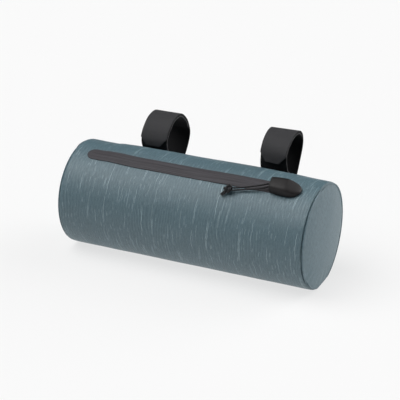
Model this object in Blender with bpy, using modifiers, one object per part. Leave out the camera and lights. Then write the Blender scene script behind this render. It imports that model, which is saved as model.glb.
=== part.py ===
# A soft, round handlebar bag that lies as it would be put down on a table.
# Metres, +Z up. X runs along the bag and its front faces -Y.
# The origin is the middle of the flat patch on which the bag rests.
import math

import bmesh
import bpy
from mathutils import Matrix, Vector

# The round bag
BAG_LENGTH = 0.270
BAG_RADIUS = 0.055
RESTING_SAG = 0.0020
FABRIC_WALL = 0.0018
PIECE_GAP = 0.0003

# The sewn corner where each end panel meets the tube
TUBE_CORNER_RADIUS = 0.0030
CAP_CORNER_RADIUS = 0.0027
CAP_DOME = 0.0024
CAP_FLANGE_DEPTH = 0.0085

# The zip, on the upper front. An angle is counted from the top of the bag towards its front.
ZIP_ANGLE = 21.8
ZIP_WIDTH = 0.0157
ZIP_THICKNESS = 0.0012
ZIP_LEFT_END = -0.1175
ZIP_SLOT_WIDTH = 0.0080
ZIP_SLOT_INSET = 0.0090

# The moulded garage that covers the zip's closed end
GARAGE_LEFT_END = 0.0875
GARAGE_LENGTH = 0.0330
GARAGE_WIDTH = 0.0166
GARAGE_EDGE = 0.0019
GARAGE_RIM = 0.45
HOOD_HEIGHT = 0.0089
HOOD_WIDTH = 0.0174
HOOD_MOUTH_DEPTH = 0.0125
HOOD_MOUTH_WIDTH = 0.0108
HOOD_ROOF = 0.0020

# The slider that is parked under the hood
SLIDER_LENGTH = 0.0078
SLIDER_WIDTH = 0.0070
SLIDER_THICKNESS = 0.0016
SLIDER_SETBACK = 0.0030
BRIDGE_LENGTH = 0.0046
BRIDGE_WIDTH = 0.0026
BRIDGE_HEIGHT = 0.0012

# The doubled pull cord and its knot
CORD_DIAMETER = 0.0014
CORD_POINT_STEP = 0.0034
KNOT_RADIUS = 0.0036
KNOT_X = 0.0484
KNOT_ANGLE = 36.6
KNOT_TURN = 57.0

# The two straps
STRAP_WIDTH = 0.0290
STRAP_THICKNESS = 0.0015
STRAP_SPREAD = 0.2537
STRAP_SEAT_ANGLE = -54.0
STRAP_TAB_LENGTH = 0.0085
STRAP_TAB_CORNER = 0.0072
KEEPER_WIDTH = 0.0110
KEEPER_END = 0.0090
KEEPER_RAMP = 0.0030
KEEPER_THICKNESS = 0.0014
KEEPER_EASE = 0.0007

AXIS_HEIGHT = BAG_RADIUS - RESTING_SAG
HALF_LENGTH = BAG_LENGTH / 2
STRAP_OFFSET = BAG_LENGTH * STRAP_SPREAD
TUBE_SEGMENTS = 54
SLOT_STEPS = 12

# How the top of the bag swells and dips along its length:
# x as a share of half the bag's length, lift as a share of its radius
TOP_LINE = [
    # x, lift
    (-1.00, -0.012),
    (-0.86, -0.020),
    (-0.77, -0.027),
    (-0.70, -0.012),
    (-0.60, 0.000),
    (0.00, 0.005),
    (0.32, 0.014),
    (0.68, 0.002),
    (0.92, -0.016),
    (1.00, -0.020),
]
TOP_LINE_ANGLE = -15.0

# The zip's middle line bends a little round the bag towards both ends:
# x as a share of half the bag's length, turn in degrees from ZIP_ANGLE
ZIP_LINE = [
    # x, turn
    (-0.874, -1.8),
    (-0.70, -1.5),
    (-0.41, 0.2),
    (0.15, 0.5),
    (0.62, 0.2),
    (0.78, -0.1),
    (0.89, -1.0),
]

# The garage, from its mouth to its round tip:
# x as a share of its length, width as a share of its width, hood as a share of the hood's height
GARAGE_SECTIONS = [
    # x, width, hood
    (0.000, 0.82, 0.93),
    (0.025, 0.86, 0.96),
    (0.110, 0.90, 0.98),
    (0.260, 0.95, 1.00),
    (0.420, 0.99, 1.00),
    (0.550, 1.00, 0.96),
    (0.650, 1.00, 0.83),
    (0.750, 0.95, 0.66),
    (0.840, 0.84, 0.50),
    (0.905, 0.69, 0.36),
    (0.955, 0.50, 0.24),
    (0.985, 0.30, 0.12),
    (1.000, 0.14, 0.03),
]

# The knot and the short tail behind it:
# along and radius as shares of the knot's radius
KNOT_PROFILE = [
    # along, radius
    (-1.00, 0.00),
    (-0.92, 0.42),
    (-0.60, 0.83),
    (-0.10, 1.00),
    (0.45, 0.90),
    (0.80, 0.58),
    (1.05, 0.36),
    (1.60, 0.31),
    (2.20, 0.35),
    (2.62, 0.39),
    (2.66, 0.00),
]

# The outline of each loop, from the rear foot over the top to the front foot. The two columns are
# measured from the seat on the bag: back as a share of the loop's depth, up as a share of its rise.
# Twist turns that part of the strap sideways, in rise per width.
STRAPS = {
    "strap_left": {
        "x": -STRAP_OFFSET,
        "depth": 0.0575,
        "rise": 0.0449,
        "rear_foot": -64.0,
        "front_foot": -44.0,
        "outline": [
            # back, up, twist
            (0.36, -0.26, 0.00),
            (0.55, -0.12, 0.00),
            (0.70, 0.14, 0.00),
            (0.755, 0.35, 0.00),
            (0.715, 0.54, 0.00),
            (0.60, 0.77, 0.00),
            (0.37, 0.970, 0.02),
            (0.09, 0.945, 0.03),
            (-0.12, 0.765, 0.04),
            (-0.235, 0.54, 0.02),
            (-0.215, 0.35, 0.00),
        ],
        "inner_start": 0.43,
        "tab_end": 0.797,
    },
    "strap_right": {
        "x": STRAP_OFFSET,
        "depth": 0.0420,
        "rise": 0.0487,
        "rear_foot": -62.5,
        "front_foot": -35.5,
        "outline": [
            # back, up, twist
            (0.28, 0.04, 0.00),
            (0.44, 0.28, 0.00),
            (0.56, 0.50, 0.04),
            (0.60, 0.68, 0.08),
            (0.54, 0.87, 0.08),
            (0.33, 0.995, 0.06),
            (0.05, 0.985, 0.00),
            (-0.22, 0.87, -0.10),
            (-0.38, 0.70, -0.14),
            (-0.41, 0.52, -0.10),
            (-0.37, 0.40, -0.04),
        ],
        "inner_start": 0.4125,
        "tab_end": 0.766,
    },
}
TAB_FLARE = 0.0018
LYING_STEPS = 2

# The two strands of the pull cord, from the slider to the knot:
# x, angle from the top, lift of the cord's middle above the bag's skin
CORD_ROUTES = {
    "pull_cord_rear": [
        # x, angle, lift
        (0.0918, 20.9, 0.0043),
        (0.0898, 21.2, 0.0043),
        (0.0870, 22.3, 0.0044),
        (0.0828, 24.3, 0.0044),
        (0.0788, 26.3, 0.0042),
        (0.0720, 28.7, 0.0039),
        (0.0668, 30.5, 0.0036),
        (0.0597, 32.7, 0.0034),
        (0.0550, 34.2, 0.0036),
        (0.0523, 35.0, 0.0040),
    ],
    "pull_cord_front": [
        # x, angle, lift
        (0.0918, 22.9, 0.0043),
        (0.0901, 24.0, 0.0043),
        (0.0880, 25.6, 0.0043),
        (0.0844, 27.8, 0.0042),
        (0.0805, 29.4, 0.0039),
        (0.0765, 30.6, 0.0035),
        (0.0711, 32.0, 0.0032),
        (0.0660, 33.2, 0.0030),
        (0.0604, 34.7, 0.0029),
        (0.0555, 36.3, 0.0032),
        (0.0526, 37.3, 0.0036),
    ],
}


# Shared shapes

def interpolate(rows, position, column):
    # A smooth value between the rows of a table whose first column rises.
    if position <= rows[0][0]:
        return rows[0][column]
    for low, high in zip(rows, rows[1:]):
        if position <= high[0]:
            share = (position - low[0]) / (high[0] - low[0])
            eased = share * share * (3 - 2 * share)
            return low[column] + (high[column] - low[column]) * eased
    return rows[-1][column]


def skin_radius(x, angle):
    lift = interpolate(TOP_LINE, x / HALF_LENGTH, 1)
    facing_up = max(0.0, math.cos(math.radians(angle - TOP_LINE_ANGLE)))
    return BAG_RADIUS * (1 + lift * facing_up**2)


def skin_point(x, angle, lift=0.0):
    # A point at this height above the bag's skin. The underside is flat where the bag rests.
    radius = skin_radius(x, angle) + lift
    turn = math.radians(angle)
    height = max(AXIS_HEIGHT + radius * math.cos(turn), -lift)
    return Vector((x, -radius * math.sin(turn), height))


def zip_angle(x):
    return ZIP_ANGLE + interpolate(ZIP_LINE, x / HALF_LENGTH, 1)


def arc_angle(length):
    # The angle that this length takes up on the bag's skin.
    return math.degrees(length / BAG_RADIUS)


def skin_matrix(x, angle, lift):
    # A place on the skin: X along the bag, Y up round it towards the rear, Z straight out.
    turn = math.radians(angle)
    along = Vector((1, 0, 0))
    rearward = Vector((0, math.cos(turn), math.sin(turn)))
    outward = Vector((0, -math.sin(turn), math.cos(turn)))
    matrix = Matrix((along, rearward, outward)).transposed().to_4x4()
    matrix.translation = skin_point(x, angle, lift)
    return matrix


def smooth_curve(points, position, closed=False):
    # A Catmull-Rom curve through the points, read at a position counted in points.
    count = len(points)
    start = math.floor(position)
    share = position - start
    corners = []
    for step in (-1, 0, 1, 2):
        index = start + step
        index = index % count if closed else min(max(index, 0), count - 1)
        corners.append(points[index])
    a, b, c, d = corners
    return (
        b * 2
        + (c - a) * share
        + (a * 2 - b * 5 + c * 4 - d) * share**2
        + (b * 3 - a - c * 3 + d) * share**3
    ) / 2


def spaced(start, end, steps):
    return [start + (end - start) * i / steps for i in range(steps + 1)]


def colour_material(name, colour, roughness, metallic=0.0):
    material = bpy.data.materials.new(name)
    material.use_nodes = True
    shader = material.node_tree.nodes["Principled BSDF"]
    shader.inputs["Base Color"].default_value = (*colour, 1.0)
    shader.inputs["Roughness"].default_value = roughness
    shader.inputs["Metallic"].default_value = metallic
    return material


def add_object(name, bm, material, collection):
    mesh = bpy.data.meshes.new(name)
    bm.to_mesh(mesh)
    bm.free()
    mesh.shade_smooth()
    mesh.set_sharp_from_angle(angle=math.radians(35))
    mesh.materials.append(material)
    obj = bpy.data.objects.new(name, mesh)
    collection.objects.link(obj)
    return obj


def face_outwards(bm, inside):
    bm.normal_update()
    outward = sum(f.normal.dot(f.calc_center_median() - inside) * f.calc_area() for f in bm.faces)
    if outward < 0:
        bmesh.ops.reverse_faces(bm, faces=bm.faces[:])


def bridge_rings(bm, rings, ring_closed, skipped=()):
    # Quads between rings of vertices, apart from the skipped (row, column) places.
    for row, (near, far) in enumerate(zip(rings, rings[1:])):
        count = len(near) if ring_closed else len(near) - 1
        for column in range(count):
            if (row, column) in skipped:
                continue
            beside = (column + 1) % len(near)
            bm.faces.new((near[column], near[beside], far[beside], far[column]))


def add_wall(obj, thickness, offset):
    wall = obj.modifiers.new("Wall", "SOLIDIFY")
    wall.thickness = thickness
    wall.offset = offset
    wall.use_even_offset = True


def block_along_zip(x_range, half_width, lift_range, steps):
    # A closed block that follows the bag's skin and the zip's middle line.
    bm = bmesh.new()
    reach = arc_angle(half_width)
    rings = []
    for x in spaced(*x_range, steps):
        angles = spaced(zip_angle(x) - reach, zip_angle(x) + reach, steps)
        low = [skin_point(x, a, lift_range[0]) for a in angles]
        high = [skin_point(x, a, lift_range[1]) for a in angles]
        rings.append([bm.verts.new(p) for p in low + high[::-1]])
    bridge_rings(bm, rings, True)
    bm.faces.new(rings[0][::-1])
    bm.faces.new(rings[-1])
    bmesh.ops.recalc_face_normals(bm, faces=bm.faces[:])
    return bm


def cut_away(obj, cutter):
    cutter.hide_render = True
    cutter.display_type = "WIRE"
    boolean = obj.modifiers.new("Cut", "BOOLEAN")
    boolean.operation = "DIFFERENCE"
    boolean.object = cutter


# The bag itself

def tube_stations():
    # Where the tube's rings stand along X, with one at each end of the zip's slot.
    slot_start = ZIP_LEFT_END + ZIP_SLOT_INSET
    slot_end = GARAGE_LEFT_END + HOOD_MOUTH_DEPTH
    corner = HALF_LENGTH - TUBE_CORNER_RADIUS
    left = spaced(-corner, slot_start, 2)
    middle = spaced(slot_start, slot_end, SLOT_STEPS)
    right = spaced(slot_end, corner, 3)
    first_slot_row = len(left) - 1
    return left + middle[1:] + right[1:], first_slot_row


def tube_angles():
    # Round the bag from the slot's front edge to its rear edge, and then over the slot.
    half_slot = arc_angle(ZIP_SLOT_WIDTH) / 2
    round_the_bag = spaced(ZIP_ANGLE + half_slot, ZIP_ANGLE + 360 - half_slot, TUBE_SEGMENTS)
    return round_the_bag + [ZIP_ANGLE + 360]


def tube_ring(bm, x, angles, inset=0.0):
    return [bm.verts.new(skin_point(x, angle, -inset)) for angle in angles]


def build_tube(material, collection):
    bm = bmesh.new()
    angles = tube_angles()
    stations, first_slot_row = tube_stations()
    corner_turns = [math.radians(t) for t in (90, 60, 30)]
    corner = [
        (
            HALF_LENGTH - TUBE_CORNER_RADIUS * (1 - math.sin(t)),
            TUBE_CORNER_RADIUS * (1 - math.cos(t)),
        )
        for t in corner_turns
    ]
    rings = [tube_ring(bm, -x, angles, inset) for x, inset in corner]
    rings += [tube_ring(bm, x, angles) for x in stations]
    rings += [tube_ring(bm, x, angles, inset) for x, inset in corner[::-1]]
    first_row = len(corner) + first_slot_row
    slot_rows = range(first_row, first_row + SLOT_STEPS)
    slot_columns = (TUBE_SEGMENTS, TUBE_SEGMENTS + 1)
    skipped = {(row, column) for row in slot_rows for column in slot_columns}
    bridge_rings(bm, rings, True, skipped)
    face_outwards(bm, Vector((0, 0, AXIS_HEIGHT)))
    tube = add_object("body_tube", bm, material, collection)
    add_wall(tube, FABRIC_WALL, -1)


def build_cap(name, side, material, collection):
    # An end panel: a slightly domed disc, a rounded edge and the flange sewn inside the tube.
    bm = bmesh.new()
    angles = spaced(0, 360, TUBE_SEGMENTS - 2)[:-1]
    end = side * HALF_LENGTH
    edge_inset = TUBE_CORNER_RADIUS + PIECE_GAP
    corner_x = HALF_LENGTH - CAP_CORNER_RADIUS
    profile = [(HALF_LENGTH - CAP_FLANGE_DEPTH, edge_inset)]
    for degrees in (0, 30, 60, 90):
        turn = math.radians(degrees)
        x = corner_x + CAP_CORNER_RADIUS * math.sin(turn)
        profile.append((x, edge_inset + CAP_CORNER_RADIUS * (1 - math.cos(turn))))
    rings = []
    for x, inset in profile:
        ring = [skin_point(end, angle, -inset) for angle in angles]
        rings.append([bm.verts.new((side * x, p.y, p.z)) for p in ring])
    rim = [vert.co.copy() for vert in rings[-1]]
    middle = Vector((end, 0, AXIS_HEIGHT))
    for share in (0.72, 0.36):
        dome = Vector((side * CAP_DOME * (1 - share**2), 0, 0))
        rings.append([bm.verts.new(middle + (p - middle) * share + dome) for p in rim])
    bridge_rings(bm, rings, True)
    top = bm.verts.new(middle + Vector((side * CAP_DOME, 0, 0)))
    last = rings[-1]
    for vert, beside in zip(last, last[1:] + last[:1]):
        bm.faces.new((vert, beside, top))
    face_outwards(bm, Vector((0, 0, AXIS_HEIGHT)))
    cap = add_object(name, bm, material, collection)
    add_wall(cap, FABRIC_WALL, -1)


# The zip, its garage and its slider

def tape_right_end():
    return GARAGE_LEFT_END + HOOD_MOUTH_DEPTH - PIECE_GAP


def build_zip_tape(material, collection):
    # A strip on the skin with a round left end. Its right end lies under the garage.
    half_width = ZIP_WIDTH / 2
    outline = []
    for degrees in (15, 35, 60, 90):
        turn = math.radians(degrees)
        outline.append((ZIP_LEFT_END + half_width * (1 - math.cos(turn)), half_width * math.sin(turn)))
    straight = spaced(ZIP_LEFT_END + half_width, tape_right_end(), SLOT_STEPS)
    outline += [(x, half_width) for x in straight[1:]]
    bm = bmesh.new()
    rings = []
    for x, half in outline:
        reach = arc_angle(half)
        angles = spaced(zip_angle(x) - reach, zip_angle(x) + reach, 4)
        rings.append([bm.verts.new(skin_point(x, angle, PIECE_GAP)) for angle in angles])
    bridge_rings(bm, rings, False)
    face_outwards(bm, Vector((0, 0, AXIS_HEIGHT)))
    tape = add_object("zip_tape", bm, material, collection)
    add_wall(tape, ZIP_THICKNESS, 1)


def hood_swell(share):
    # How far the hood rises at this share of its half width: a flat top with rounded sides.
    share = min(abs(share), 1.0)
    return (1 - share**4) ** 0.6


def build_garage(material, collection, cutters):
    bm = bmesh.new()
    rings = []
    half_across = (0.0, 0.30, 0.55, 0.72, 0.84, 0.92, 0.97, 1.0)
    across = [-share for share in half_across[:0:-1]] + list(half_across)
    for x_share, width_share, hood_share in GARAGE_SECTIONS:
        x = GARAGE_LEFT_END + GARAGE_LENGTH * x_share
        half_width = GARAGE_WIDTH * width_share / 2
        top = []
        bottom = []
        for share in across:
            offset = half_width * share
            swell = hood_swell(offset / (HOOD_WIDTH / 2)) * (HOOD_HEIGHT - GARAGE_EDGE) * hood_share
            edge = GARAGE_EDGE * (GARAGE_RIM if abs(share) == 1 else 1.0)
            angle = zip_angle(x) + arc_angle(offset)
            top.append(skin_point(x, angle, PIECE_GAP + edge + swell))
            bottom.append(skin_point(x, angle, PIECE_GAP))
        rings.append([bm.verts.new(p) for p in top + bottom[::-1]])
    bridge_rings(bm, rings, True)
    bm.faces.new(rings[0])
    bm.faces.new(rings[-1][::-1])
    bmesh.ops.recalc_face_normals(bm, faces=bm.faces[:])
    garage = add_object("zip_garage", bm, material, collection)

    tape_top = PIECE_GAP + ZIP_THICKNESS + PIECE_GAP
    cut_garage(garage, "tape_recess", GARAGE_WIDTH / 2 + PIECE_GAP, tape_top, PIECE_GAP, material, cutters)
    roof = HOOD_HEIGHT + PIECE_GAP - HOOD_ROOF
    cut_garage(garage, "hood_mouth", HOOD_MOUTH_WIDTH / 2, roof, 0.0, material, cutters)


def cut_garage(garage, name, half_width, top, extra_depth, material, cutters):
    # Both cuts start left of the mouth and below the garage's underside.
    x_range = (GARAGE_LEFT_END - GARAGE_EDGE, GARAGE_LEFT_END + HOOD_MOUTH_DEPTH + extra_depth)
    block = block_along_zip(x_range, half_width, (-GARAGE_EDGE, top), 4)
    cutter = add_object(name, block, material, cutters)
    cut_away(garage, cutter)


def block_mesh(length, width, height, matrix):
    bm = bmesh.new()
    bmesh.ops.create_cube(bm, size=1.0)
    bmesh.ops.scale(bm, vec=(length, width, height), verts=bm.verts)
    bmesh.ops.transform(bm, matrix=matrix, verts=bm.verts)
    return bm


def build_slider(material, collection, cutters):
    base = PIECE_GAP + ZIP_THICKNESS + PIECE_GAP
    x = GARAGE_LEFT_END + SLIDER_SETBACK + SLIDER_LENGTH / 2
    place = skin_matrix(x, zip_angle(x), base + SLIDER_THICKNESS / 2)
    body = block_mesh(SLIDER_LENGTH, SLIDER_WIDTH, SLIDER_THICKNESS, place)
    slider = add_object("zip_slider", body, material, collection)
    rounding = slider.modifiers.new("Rounding", "BEVEL")
    rounding.width = SLIDER_THICKNESS / 5
    rounding.segments = 1
    sunk = SLIDER_THICKNESS / 2
    place = skin_matrix(x, zip_angle(x), base + sunk + (BRIDGE_HEIGHT + sunk) / 2)
    bridge = block_mesh(BRIDGE_LENGTH, BRIDGE_WIDTH, BRIDGE_HEIGHT + sunk, place)
    bridge_object = add_object("slider_bridge", bridge, material, cutters)
    bridge_object.hide_render = True
    bridge_object.display_type = "WIRE"
    union = slider.modifiers.new("Bridge", "BOOLEAN")
    union.operation = "UNION"
    union.object = bridge_object


# The pull cord

def cord_points(route):
    # Points along a smooth curve through the route, about two and a half diameters apart.
    through = [skin_point(*row) for row in route]
    fine = [smooth_curve(through, i / 20) for i in range(20 * (len(through) - 1) + 1)]
    length = sum((b - a).length for a, b in zip(fine, fine[1:]))
    steps = max(2, round(length / CORD_POINT_STEP))
    points = [fine[0]]
    travelled = 0.0
    for a, b in zip(fine, fine[1:]):
        travelled += (b - a).length
        if travelled >= length * len(points) / steps - 1e-9:
            points.append(b)
    return points


def build_cord(name, route, material, collection):
    curve = bpy.data.curves.new(name, "CURVE")
    curve.dimensions = "3D"
    curve.bevel_depth = CORD_DIAMETER / 2
    curve.bevel_resolution = 2
    curve.use_fill_caps = True
    points = cord_points(route)
    spline = curve.splines.new("POLY")
    spline.points.add(len(points) - 1)
    for target, point in zip(spline.points, points):
        target.co = (*point, 1.0)
    curve.materials.append(material)
    cord = bpy.data.objects.new(name, curve)
    collection.objects.link(cord)


def build_knot(material, collection):
    # A knot with its short tail, turned round the line in which the cord arrives.
    bm = bmesh.new()
    profile = [
        bm.verts.new((along * KNOT_RADIUS, 0, radius * KNOT_RADIUS))
        for along, radius in KNOT_PROFILE
    ]
    edges = [bm.edges.new(pair) for pair in zip(profile, profile[1:])]
    bmesh.ops.spin(
        bm,
        geom=profile + edges,
        cent=(0, 0, 0),
        axis=(1, 0, 0),
        angle=math.tau,
        steps=10,
        use_merge=True,
    )
    bmesh.ops.remove_doubles(bm, verts=bm.verts, dist=1e-6)
    bmesh.ops.recalc_face_normals(bm, faces=bm.faces[:])
    lie = Matrix.Rotation(math.radians(180 + KNOT_TURN), 4, "Z")
    place = skin_matrix(KNOT_X, KNOT_ANGLE, KNOT_RADIUS + PIECE_GAP)
    bmesh.ops.transform(bm, matrix=place @ lie, verts=bm.verts)
    add_object("pull_knot", bm, material, collection)


# The straps and what keeps them on the bag

def strap_outline(strap):
    # Closed loop of (y, z, twist): the seat on the skin first, then the rear leg, top and front leg.
    def on_skin(angle):
        p = skin_point(strap["x"], angle, PIECE_GAP)
        return Vector((p.y, p.z, 0))

    seat = skin_point(strap["x"], STRAP_SEAT_ANGLE)
    points = [on_skin(angle) for angle in spaced(STRAP_SEAT_ANGLE, strap["rear_foot"], LYING_STEPS)]
    for back, up, twist in strap["outline"]:
        points.append(Vector((seat.y + back * strap["depth"], seat.z + up * strap["rise"], twist)))
    returning = spaced(strap["front_foot"], STRAP_SEAT_ANGLE, LYING_STEPS)[:-1]
    return points + [on_skin(angle) for angle in returning]


def off_the_skin(strap, y, z):
    # The strap lies on the bag and never in it, over its whole width.
    height = z - AXIS_HEIGHT
    angle = math.degrees(math.atan2(-y, height))
    edges = (strap["x"] - STRAP_WIDTH / 2, strap["x"], strap["x"] + STRAP_WIDTH / 2)
    nearest = max(skin_radius(x, angle) for x in edges) + PIECE_GAP
    push = max(1.0, nearest / math.hypot(y, height))
    return y * push, AXIS_HEIGHT + height * push


def strap_rows(strap):
    # One row for each place along the strap: (y, z, twist, half width).
    # It starts inside the loop, passes the front leg, the seat and the rear leg, and ends as the tab.
    outline = strap_outline(strap)
    count = len(outline)
    first = strap["inner_start"] * count - count
    last = strap["tab_end"] * count
    front_foot = -LYING_STEPS
    easing = 2.2
    tab_turn = 1.4
    inward = STRAP_THICKNESS + PIECE_GAP
    steps = round((last - first) * 3)
    rows = []
    for position in spaced(first, last, steps):
        here = smooth_curve(outline, position, closed=True)
        ahead = smooth_curve(outline, position + 0.02, closed=True)
        behind = smooth_curve(outline, position - 0.02, closed=True)
        along = Vector((ahead.x - behind.x, ahead.y - behind.y)).normalized()
        outward = Vector((along.y, -along.x))
        nearness = min(max((front_foot - position) / easing, 0.0), 1.0)
        offset = -inward * nearness * nearness * (3 - 2 * nearness)
        flare = min(max((position - last + tab_turn) / tab_turn, 0.0), 1.0)
        offset += TAB_FLARE * flare * flare
        y, z = off_the_skin(strap, here.x + outward.x * offset, here.y + outward.y * offset)
        rows.append([y, z, here.z, STRAP_WIDTH / 2])
    return rows


def tapered_tab(rows):
    # The tab's two corners are cut off: its last rows narrow towards the end.
    travelled = 0.0
    rows[-1][3] -= STRAP_TAB_CORNER
    for index in range(len(rows) - 2, 0, -1):
        here, beyond = rows[index], rows[index + 1]
        travelled += math.hypot(beyond[0] - here[0], beyond[1] - here[1])
        if travelled >= STRAP_TAB_LENGTH:
            break
        here[3] -= STRAP_TAB_CORNER * (1 - travelled / STRAP_TAB_LENGTH)
    return rows


def build_strap(name, strap, material, collection):
    bm = bmesh.new()
    rings = []
    for y, z, twist, half_width in tapered_tab(strap_rows(strap)):
        ring = []
        for side in (-1, 1):
            x = strap["x"] + side * half_width
            ring.append(bm.verts.new((x, y + twist * side * half_width, z)))
        rings.append(ring)
    bridge_rings(bm, rings, False)
    bm.normal_update()
    bm.faces.ensure_lookup_table()
    outer_top = max(bm.faces, key=lambda f: f.calc_center_median().z)
    if outer_top.normal.z < 0:
        bmesh.ops.reverse_faces(bm, faces=bm.faces[:])
    obj = add_object(name, bm, material, collection)
    add_wall(obj, STRAP_THICKNESS, -1)


def build_keeper(name, strap, material, collection):
    # A sewn band that crosses the strap and holds it against the bag.
    over_strap = PIECE_GAP + STRAP_THICKNESS + KEEPER_EASE
    half_strap = STRAP_WIDTH / 2 + PIECE_GAP * 2
    foot = half_strap + KEEPER_RAMP
    tip = foot + KEEPER_END
    half = [
        (tip, PIECE_GAP),
        (foot, PIECE_GAP),
        (half_strap + KEEPER_RAMP * 0.6, over_strap * 0.62),
        (half_strap, over_strap),
        (half_strap / 3, over_strap),
    ]
    profile = [(-x, lift) for x, lift in half] + half[::-1]
    reach = arc_angle(KEEPER_WIDTH / 2)
    angles = spaced(STRAP_SEAT_ANGLE - reach, STRAP_SEAT_ANGLE + reach, 4)
    bm = bmesh.new()
    rings = []
    for x, lift in profile:
        rings.append([bm.verts.new(skin_point(strap["x"] + x, angle, lift)) for angle in angles])
    bridge_rings(bm, rings, False)
    face_outwards(bm, Vector((strap["x"], 0, AXIS_HEIGHT)))
    keeper = add_object(name, bm, material, collection)
    add_wall(keeper, KEEPER_THICKNESS, 1)


# Putting it together

def clear_scene():
    for obj in list(bpy.data.objects):
        bpy.data.objects.remove(obj, do_unlink=True)


def new_collection(name):
    collection = bpy.data.collections.new(name)
    bpy.context.scene.collection.children.link(collection)
    return collection


def main():
    clear_scene()
    bag = new_collection("handlebar_bag")
    cutters = new_collection("cutters")
    cutters.hide_render = True
    shell = colour_material("body_fabric", (0.155, 0.205, 0.222), 0.85)
    end_panel = colour_material("end_panel_fabric", (0.185, 0.240, 0.258), 0.85)
    tape = colour_material("zip_tape_fabric", (0.060, 0.058, 0.065), 0.70)
    rubber = colour_material("garage_rubber", (0.045, 0.043, 0.044), 0.55)
    slider_metal = colour_material("slider_metal", (0.030, 0.030, 0.032), 0.40, 1.0)
    cord = colour_material("cord_braid", (0.008, 0.008, 0.009), 0.60)
    webbing = colour_material("strap_fabric", (0.055, 0.055, 0.058), 0.80)
    keeper = colour_material("keeper_fabric", (0.040, 0.040, 0.043), 0.85)

    build_tube(shell, bag)
    build_cap("end_cap_left", -1, end_panel, bag)
    build_cap("end_cap_right", 1, end_panel, bag)
    build_zip_tape(tape, bag)
    build_garage(rubber, bag, cutters)
    build_slider(slider_metal, bag, cutters)
    for name, route in CORD_ROUTES.items():
        build_cord(name, route, cord, bag)
    build_knot(cord, bag)
    for name, strap in STRAPS.items():
        build_strap(name, strap, webbing, bag)
        build_keeper(name.replace("strap", "keeper"), strap, keeper, bag)


main()
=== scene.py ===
# Looks of a soft round handlebar bag: slubbed fabric, covered zip, rubber garage, pull cord and straps.
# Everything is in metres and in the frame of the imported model.
import math

import bmesh
import bpy
from mathutils import Matrix, Vector, noise


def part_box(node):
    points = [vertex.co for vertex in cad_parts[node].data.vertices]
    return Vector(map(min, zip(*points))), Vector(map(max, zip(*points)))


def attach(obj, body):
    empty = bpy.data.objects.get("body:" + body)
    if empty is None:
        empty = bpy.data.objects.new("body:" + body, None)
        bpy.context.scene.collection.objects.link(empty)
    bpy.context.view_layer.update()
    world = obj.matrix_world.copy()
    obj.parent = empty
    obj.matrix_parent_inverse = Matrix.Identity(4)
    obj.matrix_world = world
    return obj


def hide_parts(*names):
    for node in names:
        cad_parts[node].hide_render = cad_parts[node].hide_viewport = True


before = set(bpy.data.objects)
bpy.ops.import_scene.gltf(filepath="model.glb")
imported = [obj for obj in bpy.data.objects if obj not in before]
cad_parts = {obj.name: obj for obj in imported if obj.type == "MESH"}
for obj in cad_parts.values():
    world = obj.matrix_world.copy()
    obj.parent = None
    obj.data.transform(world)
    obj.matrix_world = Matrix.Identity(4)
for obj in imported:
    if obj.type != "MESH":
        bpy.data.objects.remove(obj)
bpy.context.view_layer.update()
scene = bpy.context.scene
print("frame loaded:", len(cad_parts), "nodes")

# shared sizes: the length and the radius are read from the frame
tubeLow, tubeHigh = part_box("body_tube")
bag = {
    "length": tubeHigh.x - tubeLow.x,
    "radius": round((tubeHigh.y - tubeLow.y) / 2, 4),
    "sag": 0.0020,          # how far the underside is pressed flat by its own weight
    "gap": 0.0003,          # air between pieces that lie on each other
    "topLineAngle": -15.0,  # where the swell of the top is strongest, in degrees from the top
    # x as a share of half the length, swell as a share of the radius
    "topLine": [
        (-1.00, -0.012),
        (-0.86, -0.020),
        (-0.77, -0.020),
        (-0.70, -0.003),
        (-0.60, 0.004),
        (0.00, 0.005),
        (0.32, 0.014),
        (0.68, 0.002),
        (0.92, -0.016),
        (1.00, -0.020),
    ],
}
halfLength = bag["length"] / 2
bagRadius = bag["radius"]
axisHeight = bagRadius - bag["sag"]

# the zip's place, which its cover, the slot in the cloth and the garage share
bagZip = {
    "angle": 21.8,          # of its middle line, in degrees from the top towards the front
    "width": 0.0157,
    "thickness": 0.0012,
    "leftEnd": -0.1175,
    "slotWidth": 0.0080,
    "slotInset": 0.0090,
    # x as a share of half the bag's length, turn of the zip's middle line in degrees
    "line": [
        (-0.874, -1.8),
        (-0.70, -1.5),
        (-0.41, 0.2),
        (0.15, 0.5),
        (0.62, 0.2),
        (0.78, -0.1),
        (0.89, -1.0),
    ],
}

# the moulded garage over the zip's right end
garage = {
    "leftEnd": 0.0875,
    "length": 0.0330,
    "width": 0.0166,
    "edge": 0.0019,
    "hoodHeight": 0.0089,
    "mouthDepth": 0.0125,
    # x as a share of the length, width as a share of the width, hood as a share of its height
    "sections": [
        (0.000, 0.82, 0.93),
        (0.025, 0.86, 0.96),
        (0.110, 0.90, 0.98),
        (0.260, 0.95, 1.00),
        (0.420, 0.99, 1.00),
        (0.550, 1.00, 0.96),
        (0.650, 1.00, 0.83),
        (0.750, 0.95, 0.66),
        (0.840, 0.84, 0.50),
        (0.905, 0.69, 0.36),
        (0.955, 0.50, 0.24),
        (0.985, 0.30, 0.12),
        (1.000, 0.14, 0.03),
    ],
}


def smoothStep(low, high, value):
    share = min(max((value - low) / (high - low), 0.0), 1.0)
    return share * share * (3 - 2 * share)


def easedRow(rows, position):
    if position <= rows[0][0]:
        return rows[0][1]
    for low, high in zip(rows, rows[1:]):
        if position <= high[0]:
            return low[1] + (high[1] - low[1]) * smoothStep(low[0], high[0], position)
    return rows[-1][1]


def skinRadius(x, angle):
    facingUp = max(0.0, math.cos(math.radians(angle - bag["topLineAngle"])))
    return bagRadius * (1 + easedRow(bag["topLine"], x / halfLength) * facingUp**2)


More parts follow.
